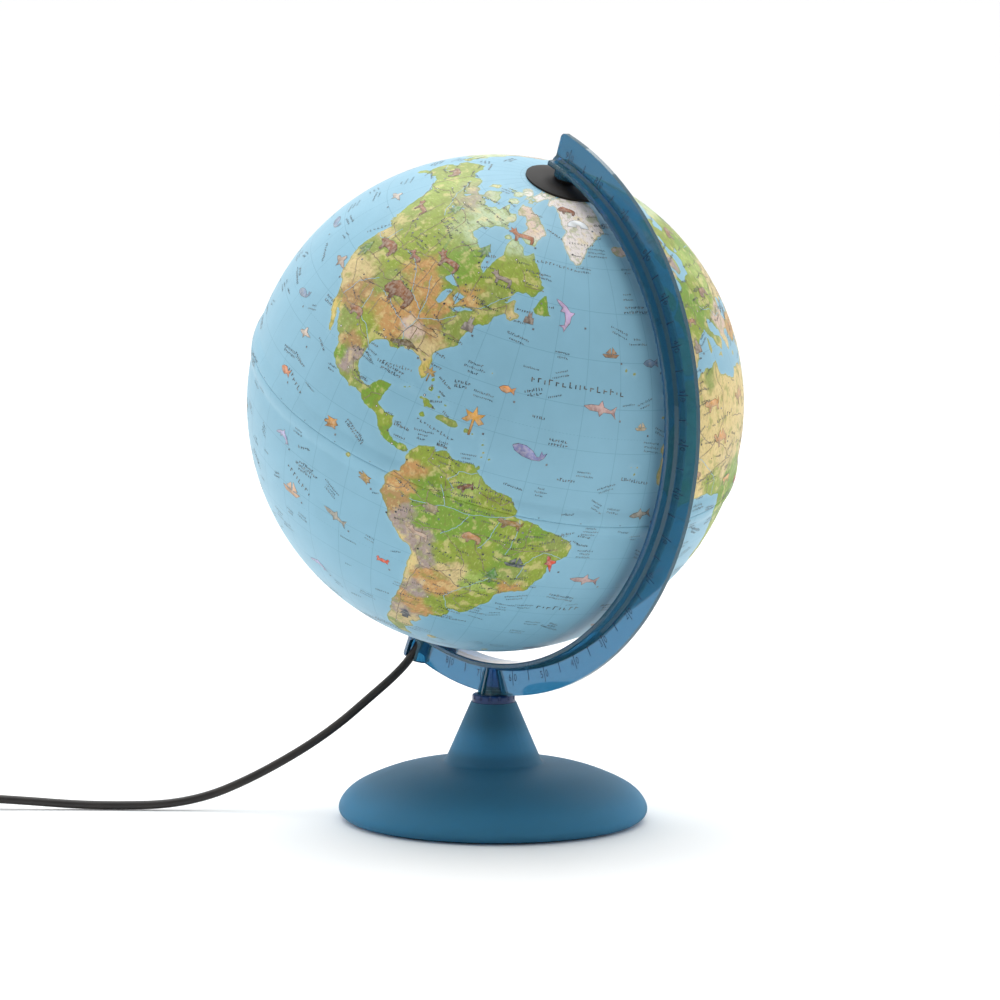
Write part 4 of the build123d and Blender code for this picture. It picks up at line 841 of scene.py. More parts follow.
def print_finish(colours):
    """The printed map: seas with their graticule, land with its inks, coastline and a slight relief."""
    finish = Finish("globe_map")
    coast = finish.node("ShaderNodeAttribute", {"attribute_name": "coast"}, {}, "Fac")
    ink = finish.node("ShaderNodeAttribute", {"attribute_name": "ink"}, {}, "Color")
    place = finish.node("ShaderNodeAttribute", {"attribute_name": "place"}, {}, "Vector")
    east = finish.node("ShaderNodeSeparateXYZ", {}, {"Vector": place}, "X")
    north = finish.node("ShaderNodeSeparateXYZ", {}, {"Vector": place}, "Y")
    ragged = finish.noise(1.1 * MM, 3)
    broad = finish.noise(7 * MM, 3)
    fine = finish.noise(0.5 * MM, 2)
    shore = coast + (ragged - 0.5) * 0.55
    land = shore.step(-0.05, 0.05)
    # Graticule every 10 degrees, dotted at the tropics and the polar circles
    narrow = finish.sum("COSINE", north * (math.pi / 180))
    to_parallel = abs((north / 10 + 0.5) % 1 - 0.5) * 10
    to_meridian = abs((east / 10 + 0.5) % 1 - 0.5) * 10 * narrow
    lines = 1 - finish.sum("MINIMUM", to_parallel, to_meridian).step(0.03, 0.09)
    to_circle = finish.sum("MINIMUM", abs(abs(north) - 23.4), abs(abs(north) - 66.5))
    dots = (1 - to_circle.step(0.03, 0.09)) * (abs((east / 0.9) % 1 - 0.5)).step(0.2, 0.3)
    lines = finish.sum("MAXIMUM", lines, dots * 0.8)
    # Seas: a faint cloudiness and paler shelves along the coasts
    sea = finish.mix(broad.step(0.25, 0.75), tuple(colours.sea), tuple(part * 0.95 for part in colours.sea))
    shelf = shore.step(-1.2, -0.1) * 0.08
    sea = finish.mix(shelf, sea, shade("b4dcec"))
    sea = finish.mix(lines * 0.42, sea, tuple(colours.sea_line))
    sea = finish.mix((fine - 0.5).step(0.1, 0.3) * 0.25, sea, shade("7fb2cc"))
    # Land: mottled inks, hill shading and an inked coast
    hills = finish.noise(2.6 * MM, 4)
    ground = finish.mix((hills - 0.5).step(0.02, 0.16) * 0.5, ink, shade("7f8f35"))
    ground = finish.mix((0.46 - hills).step(0.0, 0.12) * 0.45, ground, shade("e3cf95"))
    streaks = finish.noise(1.0 * MM, 3, (1.0, 2.4, 1.0))
    ground = finish.mix((streaks - 0.56).step(0, 0.05) * 0.30, ground, shade("7a6a3c"))
    ground = finish.mix((0.40 - streaks).step(0, 0.05) * 0.35, ground, shade("c9cf86"))
    ground = finish.mix(lines * 0.12, ground, tuple(colours.print_ink))
    edge = shore.step(-0.02, 0.1) * (1 - shore.step(0.14, 0.4))
    ground = finish.mix(edge * 0.6, ground, tuple(colours.coast))
    colour = finish.mix(land, sea, ground)
    relief = land * (0.35 + hills * 0.5) + fine * 0.05
    return finish.surface(Base_Color=colour, Roughness=0.42 + (fine - 0.5) * 0.1 + land * 0.06,
                          Specular_IOR_Level=0.35, Normal=finish.bump(relief, 0.10 * MM, 0.8))


class GLOBE_OT_skins(bpy.types.Operator):
    """Builds the two printed half shells of the globe"""

    bl_idname = "globe.skins"
    bl_label = "Printed Map"

    SEAM_ROWS = (0.02, 0.12, 0.3)
    INNER_STEP = 8
    QUICK_STEP = 4.0

    def execute(self, context):
        sizes = context.scene.globe_sizes
        chart = drawn_chart()
        finish = print_finish(context.scene.globe_colours)
        inside = moulded("shell_inside", shade("e8eaea"), 0.5)
        step = sizes.map_step
        columns = np.arange(-180, 180 + step / 2, step)
        radius = RIDGE_RADIUS - sizes.rise
        top = math.degrees(math.acos(sizes.hole / radius))
        for side, name in ((1, "north_hemisphere"), (-1, "south_hemisphere")):
            near_seam = [math.degrees(height * MM / radius) for height in self.SEAM_ROWS]
            rows = [side * row for row in (*near_seam, *np.arange(step, top, step), top)]
            self.build(name, rows, columns, sizes, chart, (finish, inside))
        return {"FINISHED"}

    def build(self, name, rows, columns, sizes, chart, finishes):
        """One half: printed outside, plain inside, joined at both rims."""
        wide = len(columns)
        outer, coast, places = [], [], []
        for row in rows:
            outer += [on_globe(column, row, sizes) for column in columns]
            coast.append(chart.from_coast(columns, row))
            places += [(column, row, 0.0) for column in columns]
        inner_rows = [*rows[::self.INNER_STEP], rows[-1]]
        inner = [CENTRE + (on_globe(column, row, sizes) - CENTRE) * (1 - sizes.wall / RIDGE_RADIUS)
                 for row in inner_rows for column in columns]
        outside_first = rows[0] > 0
        faces = self.grid(0, len(rows), wide, outside_first)
        printed = len(faces)
        start = len(outer)
        faces += self.grid(start, len(inner_rows), wide, not outside_first)
        last = start + (len(inner_rows) - 1) * wide
        faces += self.rim(0, start, wide, not outside_first)
        faces += self.rim((len(rows) - 1) * wide, last, wide, outside_first)
        mesh = bpy.data.meshes.new(name + "_print")
        mesh.from_pydata(outer + inner, [], faces)
        count = len(inner)
        inks = np.ones((start + count, 4), np.float32)
        globe_places = np.array([Chart.direction(column, row) for column, row, _ in places])
        inks[:start, :3] = land_inks(globe_places)
        self.attribute(mesh, "coast", "FLOAT", "value", np.concatenate([*coast, np.full(count, -9.0)]))
        self.attribute(mesh, "place", "FLOAT_VECTOR", "vector", np.array(places + [(5.0, 5.0, 0.0)] * count))
        self.attribute(mesh, "ink", "FLOAT_COLOR", "color", inks)
        for finish in finishes:
            mesh.materials.append(finish)
        sides = np.ones(len(faces), np.int32)
        sides[:printed] = 0
        mesh.polygons.foreach_set("material_index", sides)
        mesh.polygons.foreach_set("use_smooth", np.ones(len(faces), bool))
        mesh.update()
        shell = bpy.data.objects.new(name + "_print", mesh)
        bpy.context.scene.collection.objects.link(shell)
        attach(shell, "globe")
        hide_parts(name)

    @staticmethod
    def attribute(mesh, name, kind, field, values):
        """Stores one value at each point of a mesh."""
        data = mesh.attributes.new(name, kind, "POINT").data
        data.foreach_set(field, np.asarray(values, np.float32).ravel())

    @staticmethod
    def grid(start, rows, wide, upward):
        """Faces between rows of points."""
        faces = []
        for row in range(rows - 1):
            for column in range(wide - 1):
                here = start + row * wide + column
                ring = (here, here + 1, here + wide + 1, here + wide)
                faces.append(ring if upward else ring[::-1])
        return faces

    @staticmethod
    def rim(first, second, wide, upward):
        """Faces between an outer row and an inner row."""
        rings = [(first + at, first + at + 1, second + at + 1, second + at) for at in range(wide - 1)]
        return rings if upward else [ring[::-1] for ring in rings]


# ---------------------------------------------------------------- what is printed on top of the map
# Own outlines in a box of 1 by 1

SHAPES = {
    "whale": """0,.45 .12,.62 .35,.7 .6,.62 .78,.45 .86,.52 .84,.8 .93,.66 1,.82 .98,.55 .9,.36 .7,.25
        .4,.2 .12,.28""",
    "dolphin": """0,.35 .1,.5 .3,.68 .48,.74 .55,.95 .62,.72 .8,.55 .9,.3 1,.12 .88,.18 .78,.02 .82,.28
        .66,.42 .45,.5 .38,.32 .3,.48 .14,.38""",
    "shark": """0,.5 .2,.62 .42,.66 .5,.9 .58,.64 .8,.56 .96,.8 .92,.5 1,.25 .84,.46 .6,.42 .5,.2 .44,.4
        .2,.38""",
    "turtle": """0,.5 .1,.62 .22,.6 .3,.78 .15,.95 .42,.88 .65,.85 .88,.95 .8,.7 .92,.5 1,.48 .9,.38
        .8,.25 .9,.05 .65,.15 .4,.12 .15,.05 .3,.25 .2,.4 .08,.38""",
    "fish": "0,.5 .2,.75 .5,.85 .75,.62 1,.85 .93,.5 1,.15 .75,.38 .5,.15 .2,.25",
    "bear": """0,.55 .08,.72 .2,.8 .32,.78 .5,.92 .75,.9 .93,.75 .98,.5 .93,.05 .8,.05 .78,.35 .6,.4
        .42,.35 .38,.05 .25,.05 .24,.4 .12,.45""",
    "bison": """0,.4 .05,.62 .14,.8 .3,.98 .5,.85 .8,.78 .96,.62 .97,.3 .9,0 .82,0 .8,.32 .6,.38 .42,.3
        .38,0 .3,0 .26,.3 .12,.22""",
    "deer": """0,.62 .1,.72 .04,.95 .16,.82 .2,1 .26,.75 .36,.58 .7,.6 .9,.55 .95,.3 .93,0 .86,0 .84,.3
        .5,.35 .4,.3 .38,0 .31,0 .28,.38 .16,.55""",
    "cat": """0,.5 .06,.68 .16,.72 .24,.62 .5,.65 .75,.66 .9,.5 1,.75 .97,.4 .9,.25 .92,0 .83,0 .78,.28
        .45,.3 .3,0 .22,.02 .24,.32 .1,.4""",
    "bird": "0,.55 .14,.68 .3,.66 .45,1 .55,.95 .56,.66 .8,.5 1,.38 .78,.36 .52,.38 .4,.1 .34,.36 .12,.46",
    "palm": """.46,0 .54,0 .55,.55 .8,.4 1,.5 .78,.62 .95,.8 .62,.74 .5,1 .4,.74 .05,.8 .22,.62 0,.45 .25,.42
        .46,.55""",
    "igloo": "0,0 .02,.25 .15,.55 .4,.75 .6,.75 .82,.58 .95,.3 1,0 .6,0 .58,.25 .42,.25 .4,0",
    "ship": """0,.3 .15,.05 .8,.05 1,.32 .62,.3 .62,.38 .85,.42 .6,.95 .56,.3 .5,.3 .48,.85 .2,.42 .48,.36
        .48,.3""",
    "alligator": "0,.35 .3,.45 .5,.55 .7,.5 1,.2 .72,.3 .68,.1 .6,.28 .4,.25 .34,.08 .28,.25 0,.25",
    "tower": "0,0 .1,.5 .3,.5 .38,1 .5,.75 .62,1 .7,.5 .9,.5 1,0",
    "crab": """.1,.45 0,.7 .12,.95 .2,.72 .25,.6 .4,.7 .6,.7 .75,.6 .8,.72 .88,.95 1,.7 .9,.45 .95,.1 .75,.28
        .5,.2 .25,.28 .05,.1""",
    "tree": ".44,0 .56,0 .57,.3 .95,.25 .72,.5 .88,.52 .66,.74 .5,1 .34,.74 .12,.52 .28,.5 .05,.25 .43,.3",
    "penguin": ".3,0 .7,0 .72,.35 .95,.3 .74,.6 .66,.82 .5,1 .34,.9 .1,.82 .32,.74 .26,.6 .05,.3 .28,.35",
    "horse": """0,.6 .12,.9 .22,1 .3,.8 .42,.6 .78,.62 .95,.5 1,.2 .92,.35 .9,0 .83,0 .78,.3 .48,.32 .4,0
        .33,0 .32,.4 .2,.62 .06,.52""",
    "camel": """0,.7 .08,.85 .16,.78 .22,.55 .34,.6 .45,.95 .55,.68 .68,.95 .8,.65 .95,.45 .93,0 .87,0
        .82,.32 .45,.33 .42,0 .36,0 .34,.38 .18,.38 .1,.62""",
}
# Shape, east, north, width in mm, turn, and colour
FIGURES = """dolphin,-48.4,48.5,17,-65,b79cc4 shark,-35.4,29.7,18,-8,b48f8c whale,-51.2,17.5,17,-15,7d7fb0
    palm,-65.6,21,11,0,c48f3a turtle,-98,5,9,10,b5813a turtle,-85.5,-4.5,8,-20,9a7a35
    shark,-91.4,-19.5,15,-18,8c8a80 ship,-106.7,-20,14,0,c59f80 crab,-77,-25.5,7,0,d04a2a
    cat,-50.8,-2.5,13,0,8a6a30 bird,-38.6,-12.6,11,-60,b8402a shark,-27.9,-17,17,-5,a98a88
    bison,-99.1,39.5,19,0,7a4a22 bear,-115.6,45.5,14,0,7d4f2c deer,-93,50.5,16,0,86502a
    bear,-107,31,10,0,8a5a34 alligator,-89,31.5,16,8,6a5a3a bison,-51,76.6,9,0,8a4a20
    deer,-74,64,14,10,a05a28 igloo,-42,73,11,0,e8eef2 deer,-72.7,52,12,0,8a7a6c bird,-124.4,36,13,0,9c8a7c
    fish,-19.6,40,9,0,6c86a0 deer,-70,-13,12,0,b59a86 turtle,-68.7,-5,9,0,8f8260
    bison,-58,-9.5,10,0,a87848 ship,-46.5,-13.5,11,0,3a4a50 deer,-124,55.5,12,0,8a5c34
    bird,-117.4,19,10,12,b7a89c ship,-23.5,26.5,7,0,c0b090 cat,3.5,29,14,0,c89048 camel,7,20,15,0,c28a48
    cat,-62.7,4.6,8,30,7a5030 tree,-50.7,-19,8,0,4a7a30 penguin,-69,-42.5,7,0,3a4046
    tower,-59.5,46,5,0,7a6a60 horse,-104,47.5,9,0,8a5030 tower,-75.5,40.6,6,0,8a8078
    palm,-79.5,27.3,6,0,9a7a30 tree,-121.5,42,8,0,5a7a34 whale,-128,25,12,10,6f86a4 tree,-84,56,7,0,4f7a38
    tree,-112,61,7,0,5a8038 bird,-140,52,11,20,a8a098 whale,-147,38,14,0,6f86a4 bear,-150,65,11,0,7d5a38
    fish,-118,8,9,0,c47a50 dolphin,-112,-8,12,0,9c9cc0 fish,-60,30,8,0,d08a4a ship,-33,42,9,0,a07c5c
    shark,-20,4,13,6,8c8a80 camel,22,26,14,0,b88a50 horse,-4,13,11,0,a87a48 cat,14,7,11,0,c8963c
    bird,24,2,10,0,a03c30 bison,33,4,12,0,6c5a4a deer,36,-8,13,0,c08a48 bison,20,-18,12,0,7a6a5a
    cat,27,-25,11,0,b8883c palm,47,-18,8,0,8a7a34 whale,60,-10,15,0,6f86a4 deer,16,65,11,0,8a5c34
    horse,3,47,9,0,a07048 tower,2,42,6,0,8a7868 bison,22,50,10,0,7d5a38 bear,40,62,12,0,7a5028
    camel,48,24,13,0,b88a50 tree,60,60,9,0,4f7a38 bear,92,64,12,0,8a5a34 deer,120,66,12,0,8a5c34
    cat,106,55,12,0,b88a50 horse,104,47,11,0,8a5a38 camel,84,41,11,0,b08850 bison,90,34,11,0,5a4a3c
    bird,112,31,9,0,b0503a cat,79,22,12,0,c8843c bison,78,14,10,0,7a6a5a turtle,66,8,9,0,8f8250
    fish,90,8,9,0,c47a50 shark,75,-22,14,0,8c8a80 palm,114,1,8,0,6a7a34 turtle,131,18,9,0,8f8250
    fish,147,25,9,0,6c86a0 dolphin,165,32,12,0,9c9cc0 horse,134,-22,11,0,a8683c bird,145,-28,10,0,8a6a48
    deer,120,-28,11,0,b8783c whale,100,-38,15,0,6f86a4 penguin,130,-69,8,0,3a4046
    penguin,30,-72,8,0,3a4046 penguin,-60,-75,8,0,3a4046 shark,-140,-15,14,0,8c8a80
    turtle,-160,5,9,0,8f8250 ship,-10,-35,12,0,a07c5c whale,-20,-50,14,0,6f86a4
    dolphin,-100,-40,12,0,9c9cc0 ship,170,-5,11,0,a07c5c tree,138,37,6,0,4f7a38 bird,172,-40,7,0,8a6a48
    bear,18,79,7,0,e8e4dc bison,78,73,8,0,8a6a50"""


class Print:
    """Flat figures laid on the globe's skin and gathered into one mesh, each with its ink."""

    # Figures that stand upright, and a figure's height as a share of its width
    UPRIGHT = ("palm", "tree", "penguin", "tower")
    UPRIGHT_HEIGHT = 1.3
    HEIGHT = 0.62
    OUTLINE = 0.42 * MM
    SMALL = 8 * MM

    def __init__(self, sizes, lift):
        self.sizes = sizes
        self.lift = lift
        self.points = []
        self.faces = []
        self.inks = []

    def drape(self, spot):
        """Moves a point near the skin onto it, and a hair above."""
        away = (spot - CENTRE).normalized()
        radius = RIDGE_RADIUS - self.sizes.rise
        height = radius * away.dot(NORTH)
        out = math.sqrt(radius ** 2 - height ** 2)
        if abs(height) < self.sizes.ridge:
            out = seam_radius(height, self.sizes)
        flat = (away - NORTH * away.dot(NORTH)).normalized()
        return CENTRE + flat * out + NORTH * height + away * self.lift

    def at(self, longitude, latitude):
        """A place and its directions to the east and the north, along the skin."""
        spot = on_globe(longitude, latitude, self.sizes)
        east = (on_globe(longitude + 0.5, latitude, self.sizes) - spot).normalized()
        up = (spot - CENTRE).normalized()
        return spot, east, up.cross(east).normalized()

    def face(self, points, ink):
        """One flat face of one ink."""
        start = len(self.points)
        self.points += [self.drape(point) for point in points]
        self.inks += [ink] * len(points)
        self.faces.append(tuple(range(start, start + len(points))))

    def line(self, spots, width, ink):
        """A drawn line of even width."""
        for number, spot in enumerate(spots):
            along = spots[min(number + 1, len(spots) - 1)] - spots[max(number - 1, 0)]
            aside = (spot - CENTRE).cross(along).normalized() * width / 2
            self.points += [self.drape(spot - aside), self.drape(spot + aside)]
            self.inks += [ink, ink]
            here = len(self.points) - 2
            if number:
                self.faces.append((here - 2, here, here + 1, here - 1))

    def route(self, text, width, ink, seed):
        """A river or a border through places, drawn with small turns."""
        places = roughened(points_of(text), False, seed, ROUTE_WANDER)
        self.line([on_globe(*place, self.sizes) for place in places], width, ink)

    def dot(self, longitude, latitude, radius, ink, corners=8, ring=None):
        """A city's dot, or a small marker with four corners."""
        spot, east, north = self.at(longitude, latitude)
        turns = [math.tau * (corner + 0.5) / corners for corner in range(corners)]
        self.face([spot + (east * math.cos(turn) + north * math.sin(turn)) * radius for turn in turns], ink)
        if ring:
            self.face([spot + (east * math.cos(turn) + north * math.sin(turn)) * radius * 0.5
                       for turn in turns], ring)

    def strokes(self, longitude, latitude, count, tall, turn, ink, chance, bold=0.27, space=0.26):
        """A line of small print, as plain strokes that spell nothing."""
        spot, east, north = self.at(longitude, latitude)
        along = east * math.cos(turn) + north * math.sin(turn)
        upward = north * math.cos(turn) - east * math.sin(turn)
        reach = 0.0
        for number in range(count):
            wide = tall * chance.choice((0.22, 0.5, 0.6, 0.7))
            low = tall * chance.choice((0, 0, 0.2))
            high = tall * chance.choice((0.62, 0.7, 0.75, 1.0))
            start = spot + along * (reach - count * tall * (0.25 + space / 2))
            weight = tall * bold
            self.face([start + upward * low, start + along * weight + upward * low,
                       start + along * weight + upward * high, start + upward * high], ink)
            if wide > 2 * weight:
                level = chance.choice((low, (low + high) / 2, high - weight))
                self.face([start + upward * level, start + along * wide + upward * level,
                           start + along * wide + upward * (level + weight * 0.8),
                           start + upward * (level + weight * 0.8)], ink)
            reach += wide + tall * space

    def figure(self, name, longitude, latitude, wide, turn, ink):
        """An animal or a landmark: a shaded patch over the curved skin, with a dark outline."""
        spot, east, north = self.at(longitude, latitude)
        corners = [Vector((x, y)) for x, y in points_of(SHAPES[name])]
        count = len(corners)
        inner = [Vector((x, y)) for x in np.arange(0.05, 1, 0.09) for y in np.arange(0.05, 1, 0.12)
                 if self.inside(corners, x, y)]
        ring = [(number, (number + 1) % count) for number in range(count)]
        flat, _, faces, *_ = geometry.delaunay_2d_cdt(corners + inner, ring, [], 1, 1e-5)
        tall = wide * (self.UPRIGHT_HEIGHT if name in self.UPRIGHT else self.HEIGHT)
        cos, sin = math.cos(turn), math.sin(turn)

        def laid(point):
            x, y = (point[0] - 0.5) * wide, (point[1] - 0.5) * tall
            return spot + east * (x * cos - y * sin) + north * (x * sin + y * cos)

        start = len(self.points)
        self.points += [self.drape(laid(point)) for point in flat]
        for point in flat:
            light = 0.62 + 0.75 * point.y + 0.18 * math.sin(9 * point.x + 5 * point.y)
            self.inks.append(tuple(min(1.0, part * light) for part in ink))
        self.faces += [tuple(start + corner for corner in face) for face in faces]
        edge = [laid(corner) for corner in corners] + [laid(corners[0])]
        self.line(edge, 0.05 * wide if wide < self.SMALL else self.OUTLINE, tuple(part * 0.22 for part in ink))
        return spot

    @staticmethod
    def inside(corners, x, y):
        """Whether a point is inside an outline."""
        odd = False
        for first, last in zip(corners, corners[1:] + corners[:1]):
            if (first.y > y) != (last.y > y):
                share = (y - first.y) / (last.y - first.y)
                odd ^= x < first.x + share * (last.x - first.x)
        return odd

    def piece(self, name):
        """The gathered mesh."""
        finish = Finish(name)
        ink = finish.node("ShaderNodeAttribute", {"attribute_name": "ink"}, {}, "Color")
        worn = finish.noise(0.8 * MM, 3)
        colour = finish.mix(worn.step(0.35, 0.7) * 0.25, ink, shade("e6e2d4"))
        finish.surface(Base_Color=colour, Roughness=0.42 + worn * 0.12, Normal=finish.bump(worn, 0.02 * MM))
        made = piece_of(name, self.points, self.faces, finish.material, "globe")
        inks = np.ones((len(self.points), 4), np.float32)
        inks[:, :3] = self.inks
        made.data.attributes.new("ink", "FLOAT_COLOR", "POINT").data.foreach_set("color", inks.ravel())


class GLOBE_OT_print(bpy.types.Operator):
    """Prints rivers, borders, cities, small print and figures on the map"""

    bl_idname = "globe.print"
    bl_label = "Print on the Map"

    # Lines of large print: east, north, strokes, height in mm and turn in degrees
    TITLES = """-101,41.5,7,2,-20 -97,35.6,6,2,-18 -104,56.5,6,2.1,0 -57,4.7,6,1.8,-8 -50,-7.5,6,2,-8
        -42,33.4,16,2.5,0 -30,-28,8,2.5,0 -73.5,15.6,11,1.5,-10 -64,-16.5,7,1.6,-20 -88,25.3,12,1.5,10
        -113,7,7,2.2,-18 -104,-17,8,2.2,-22 -55,58.5,12,1.5,0 -41,66,9,1.3,0 10,24,8,2,0 24,-6,8,2,0
        80,60,8,2.4,0 104,36,6,2.2,0 80,-5,9,2.4,0 134,-20,9,2.2,0 -150,10,12,2.4,0 160,20,10,2.4,0
        -125,47,9,1.6,60 -74,-8,4,1.6,0"""
    TITLE_SCALE = 1.15
    TITLE_WEIGHT = 0.2
    TITLE_SPACE = 0.55
    RIVER = 0.28 * MM
    BORDER = 0.36 * MM
    CITIES = 560
    OTHER_PRINT = 420

    def execute(self, context):
        sizes = context.scene.globe_sizes
        colours = context.scene.globe_colours
        chance = random.Random(11)
        lines = Print(sizes, LIFT)
        for number, river in enumerate(RIVERS):
            lines.route(river, self.RIVER, tuple(colours.river), number)
        for number, border in enumerate(BORDERS):
            lines.route(border, self.BORDER, tuple(colours.border), 100 + number)
        lines.piece("rivers_and_borders")
        ink = tuple(colours.print_ink)
        figures = Print(sizes, LIFT * 2)
        taken = []
        for figure in FIGURES.split():
            name, longitude, latitude, wide, turn, colour = figure.split(",")
            place = float(longitude), float(latitude)
            spot = figures.figure(name, *place, float(wide) * MM, math.radians(float(turn)), shade(colour))
            taken.append((spot, float(wide) * 0.55 * MM))
            figures.dot(place[0] + float(wide) * 0.27 / math.cos(math.radians(place[1])), place[1] - 2.2,
                        0.7 * MM, shade("4a5560"), 4)
        figures.piece("map_figures")
        marks = Print(sizes, LIFT * 1.5)
        self.small_print(marks, taken, sizes, ink, chance)
        for longitude in range(-180, 180, 10):
            marks.dot(longitude + 5, 0.9, 0.35 * MM, shade("3c6278"))
        marks.piece("map_marks")
        return {"FINISHED"}

    def small_print(self, marks, taken, sizes, ink, chance):
        """City dots with their lines of print on land, and sparser print on the seas."""
        done = list(taken)
        columns = np.arange(-180.0, 180.0)
        dry_rows = {row: drawn_chart().is_land(columns, row + 0.01) for row in range(-80, 82)}
        wanted = {True: self.CITIES, False: self.OTHER_PRINT}
        for _ in range(14000):
            latitude = math.degrees(math.asin(chance.uniform(-0.93, 0.97)))
            longitude = chance.uniform(-180, 180)
            dry = bool(dry_rows[round(latitude)][(round(longitude) + 180) % 360])
            if not wanted[dry]:
                continue
            spot = on_globe(longitude, latitude, sizes)
            gap = (2.3 if dry else 4.6) * MM
            if any((spot - other).length < gap + reach for other, reach in done):
                continue
            done.append((spot, 1.4 * MM if dry else 3.0 * MM))
            wanted[dry] -= 1
            turn = math.radians(chance.choice((0, 0, 0, 8, -8, 20, -25)))
            if dry:
                marks.dot(longitude, latitude, sizes.city * chance.choice((0.6, 0.8, 1.0)), ink, 8,
                          chance.choice((None, shade("f2eee0"))))
                marks.strokes(longitude + 3.4, latitude - 0.5, chance.randint(4, 8), 1.2 * MM, turn, ink,
                              chance)
                if chance.random() < 0.3:
                    marks.strokes(longitude + 3, latitude + 2.0, chance.randint(5, 9), 1.5 * MM, turn, ink,
                                  chance)
            else:
                tall = chance.choice((1.0, 1.1, 1.2, 1.7)) * MM
                for row in range(chance.choice((1, 2, 2, 3))):
                    marks.strokes(longitude, latitude - row * 1.0, chance.randint(5, 12), tall, turn,
                                  shade("1d3a4c"), chance)
        for title in self.TITLES.split():
            longitude, latitude, count, tall, turn = (float(number) for number in title.split(","))
            marks.strokes(longitude, latitude, int(count), tall * self.TITLE_SCALE * MM, math.radians(turn),
                          ink, chance, self.TITLE_WEIGHT, self.TITLE_SPACE)


# ---------------------------------------------------------------- scale on the arm

class GLOBE_OT_scale(bpy.types.Operator):
    """Prints the latitude scale on the front face of the arm's web"""

    bl_idname = "globe.scale"
    bl_label = "Scale on the Arm"

    LONG_TICK = (134.8, 142.6)
    SHORT_TICK = (135.2, 140.4)
    NUMBER_RADIUS = 138.6
    NUMBER_GAP = 2.0
    TICK_WIDE = 0.5
    LAST_ANGLE = 170
    DIGIT_WIDTH = 0.82
    PROUD = 0.02 * MM

    def execute(self, context):
        sizes = context.scene.globe_sizes
        digits = self.digit_meshes(sizes.digit)
        points, faces = [], []
        half = self.TICK_WIDE * MM / 2
        for angle in range(0, self.LAST_ANGLE + 1, 5):
            low, high = self.SHORT_TICK if angle % 10 else self.LONG_TICK
            corners = [(-half, low * MM), (half, low * MM), (half, high * MM), (-half, high * MM)]
            self.lay(points, faces, corners, [(0, 1, 2, 3)], angle, False)
            if angle % 10:
                continue
            value = f"{abs(90 - angle)}"
            for number, digit in enumerate(value):
                shift = self.NUMBER_GAP * (2 * number - 1) if len(value) > 1 else self.NUMBER_GAP
                flat, rings = digits[digit]
                placed = [(x + shift * MM, y) for x, y in flat]
                self.lay(points, faces, placed, rings, angle, True)
        finish = Finish("scale_print")
        worn = finish.noise(0.6 * MM, 3)
        ink = tuple(context.scene.globe_colours.scale_ink)
        colour = finish.mix(worn.step(0.3, 0.7) * 0.3, ink, tuple(part * 2 for part in ink))
        finish.surface(Base_Color=colour, Roughness=0.4 + worn * 0.15, Normal=finish.bump(worn, 0.01 * MM))
        piece_of("scale_print", points, faces, finish.material, "stand")
        return {"FINISHED"}

    def lay(self, points, faces, flat, rings, angle, upright):
        """Places a flat figure at an angle from the north pole on the web's front face."""
        turn = math.radians(angle)
        outward = NORTH * math.cos(turn) + EAST * math.sin(turn)
        onward = EAST * math.cos(turn) - NORTH * math.sin(turn)
        away = -ACROSS * (bpy.context.scene.globe_sizes.web / 2 + self.PROUD)
        flip = -1 if upright and angle > 90 else 1
        start = len(points)
        for x, y in flat:
            height = self.NUMBER_RADIUS * MM + flip * y if upright else y
            points.append(CENTRE + away + onward * x * flip + outward * height)
        faces += [tuple(start + corner for corner in ring) for ring in rings]

    def digit_meshes(self, tall):
        """Points and faces of the ten digits, each about its own middle."""
        digits = {}
        for digit in "0123456789":
            curve = bpy.data.curves.new("digit", "FONT")
            curve.body = digit
            curve.size = 1.0
            curve.resolution_u = 3
            text = bpy.data.objects.new("digit", curve)
            mesh = bpy.data.meshes.new_from_object(text)
            flat = np.array([tuple(point.co)[:2] for point in mesh.vertices])
            rings = [tuple(face.vertices) for face in mesh.polygons]
            low, high = flat.min(0), flat.max(0)
            flat = (flat - (low + high) / 2) * tall / (high[1] - low[1])
            flat[:, 0] *= self.DIGIT_WIDTH
            digits[digit] = ([tuple(point) for point in flat], rings)
            bpy.data.objects.remove(text)
        return digits


# ---------------------------------------------------------------- pivots, lamp, switch and plug

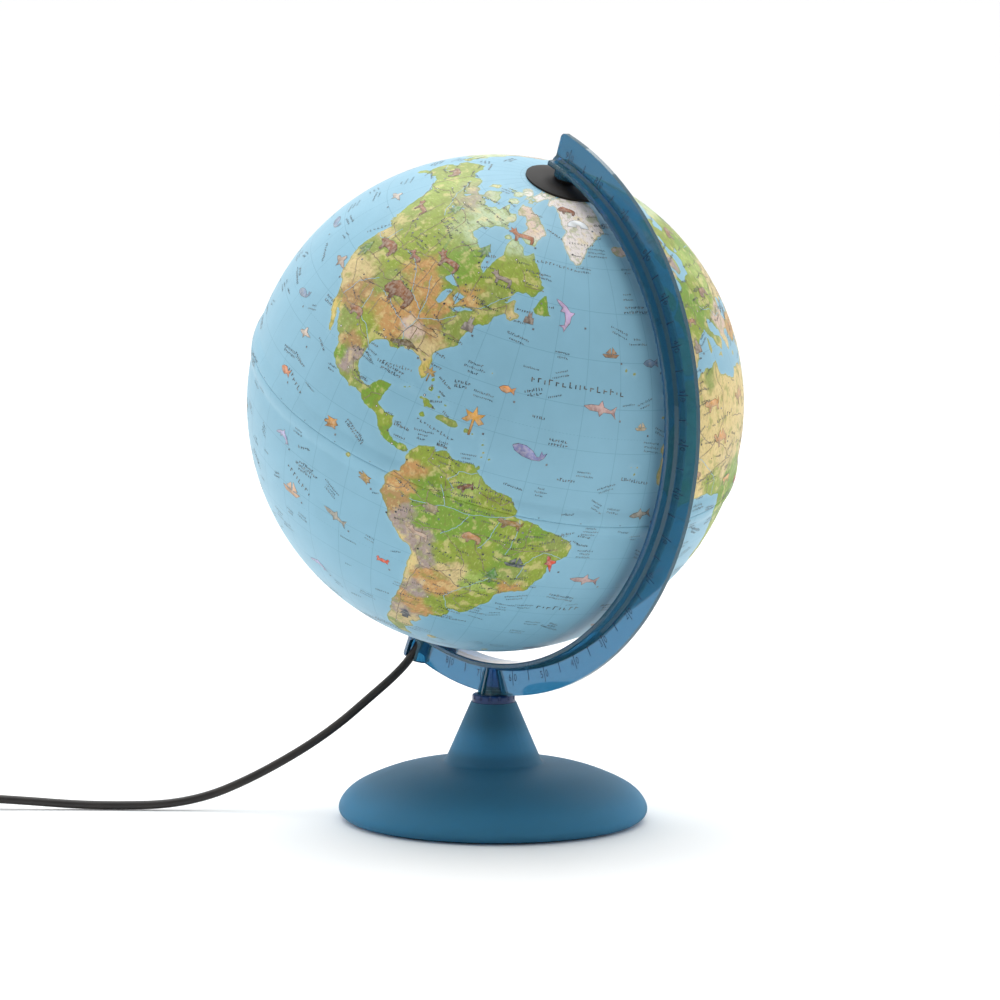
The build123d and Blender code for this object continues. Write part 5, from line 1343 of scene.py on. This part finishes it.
class GLOBE_OT_fittings(bpy.types.Operator):
    """Gives the pivots, the lamp, the switch and the plug their finishes"""

    bl_idname = "globe.fittings"
    bl_label = "Fittings"

    def execute(self, context):
        colours = context.scene.globe_colours
        black = tuple(colours.black)
        caps_and_washer_shade = moulded("cap_black_washer_shade", black, 0.55, gloss=0.2)
        dark = moulded("lead_fittings_black", tuple(part * 1.2 for part in black), 0.46, 0.5 * MM, 0.03 * MM)
        inner = moulded("inner_white", shade("e4e4de"), 0.5)
        white = moulded("lamp_white", shade("e8e6dd"), 0.4)
        brass = steel("contact_brass", shade("c9a35a"), 0.3)
        pins = steel("pin_metal", shade("c8cacd"), 0.22)
        plated = steel("stem_steel", shade("b4b7bb"), 0.3)
        rubber = moulded("tie_black", tuple(part * 0.9 for part in black), 0.5, 0.4 * MM, 0.02 * MM)
        # The north washer is white nylon; the caps' black on it is painted shade where it sits between the cap
        # and the arm
        dress(caps_and_washer_shade, "north_cap", "south_bush", "cord_gland", "north_washer")
        dress(dark, "plug_body", "switch_base", "switch_cover", "switch_rocker")
        dress(rubber, "cord_tie")
        dress(inner, "equator_ring")
        dress(white, "south_washer", "lamp_holder_dome", "lamp_holder_skirt")
        dress(brass, "holder_contacts", "bulb_cap")
        dress(pins, "plug_pin_1", "plug_pin_2")
        dress(plated, "north_pin", "lamp_stem")
        dress(self.glass(), "bulb_glass")
        return {"FINISHED"}

    def glass(self):
        """Thin lamp glass, frosted inside."""
        finish = Finish("lamp_glass")
        haze = finish.noise(6 * MM, 2)
        colours = finish.mix(haze, shade("f4f2ea"), shade("e6e4da"))
        return finish.surface(Base_Color=colours, Roughness=0.3 + haze * 0.1, Transmission_Weight=0.6,
                              IOR=1.5, Normal=finish.bump(haze, 0.02 * MM))


STEPS = [GLOBE_OT_stage, GLOBE_OT_cord, GLOBE_OT_foot, GLOBE_OT_arm, GLOBE_OT_skins, GLOBE_OT_print,
         GLOBE_OT_scale, GLOBE_OT_fittings]


# ---------------------------------------------------------------- panel, registration and run

class GLOBE_PT_panel(bpy.types.Panel):
    """The steps of the globe's dress, in order"""

    bl_label = "Desktop Globe"
    bl_space_type = "VIEW_3D"
    bl_region_type = "UI"
    bl_category = "Globe"

    def draw(self, context):
        for step in STEPS:
            self.layout.operator(step.bl_idname)
        for settings in (context.scene.globe_sizes, context.scene.globe_colours):
            for name in settings.__annotations__:
                self.layout.prop(settings, name)


def register():
    for made in (GlobeSizes, GlobeColours, *STEPS, GLOBE_PT_panel):
        bpy.utils.register_class(made)
    bpy.types.Scene.globe_sizes = bpy.props.PointerProperty(type=GlobeSizes)
    bpy.types.Scene.globe_colours = bpy.props.PointerProperty(type=GlobeColours)


def unregister():
    del bpy.types.Scene.globe_colours
    del bpy.types.Scene.globe_sizes
    for made in (GLOBE_PT_panel, *reversed(STEPS), GlobeColours, GlobeSizes):
        bpy.utils.unregister_class(made)


def main():
    register()
    for step in STEPS:
        group, name = step.bl_idname.split(".")
        getattr(getattr(bpy.ops, group), name)()


if __name__ == "__main__":
    main()
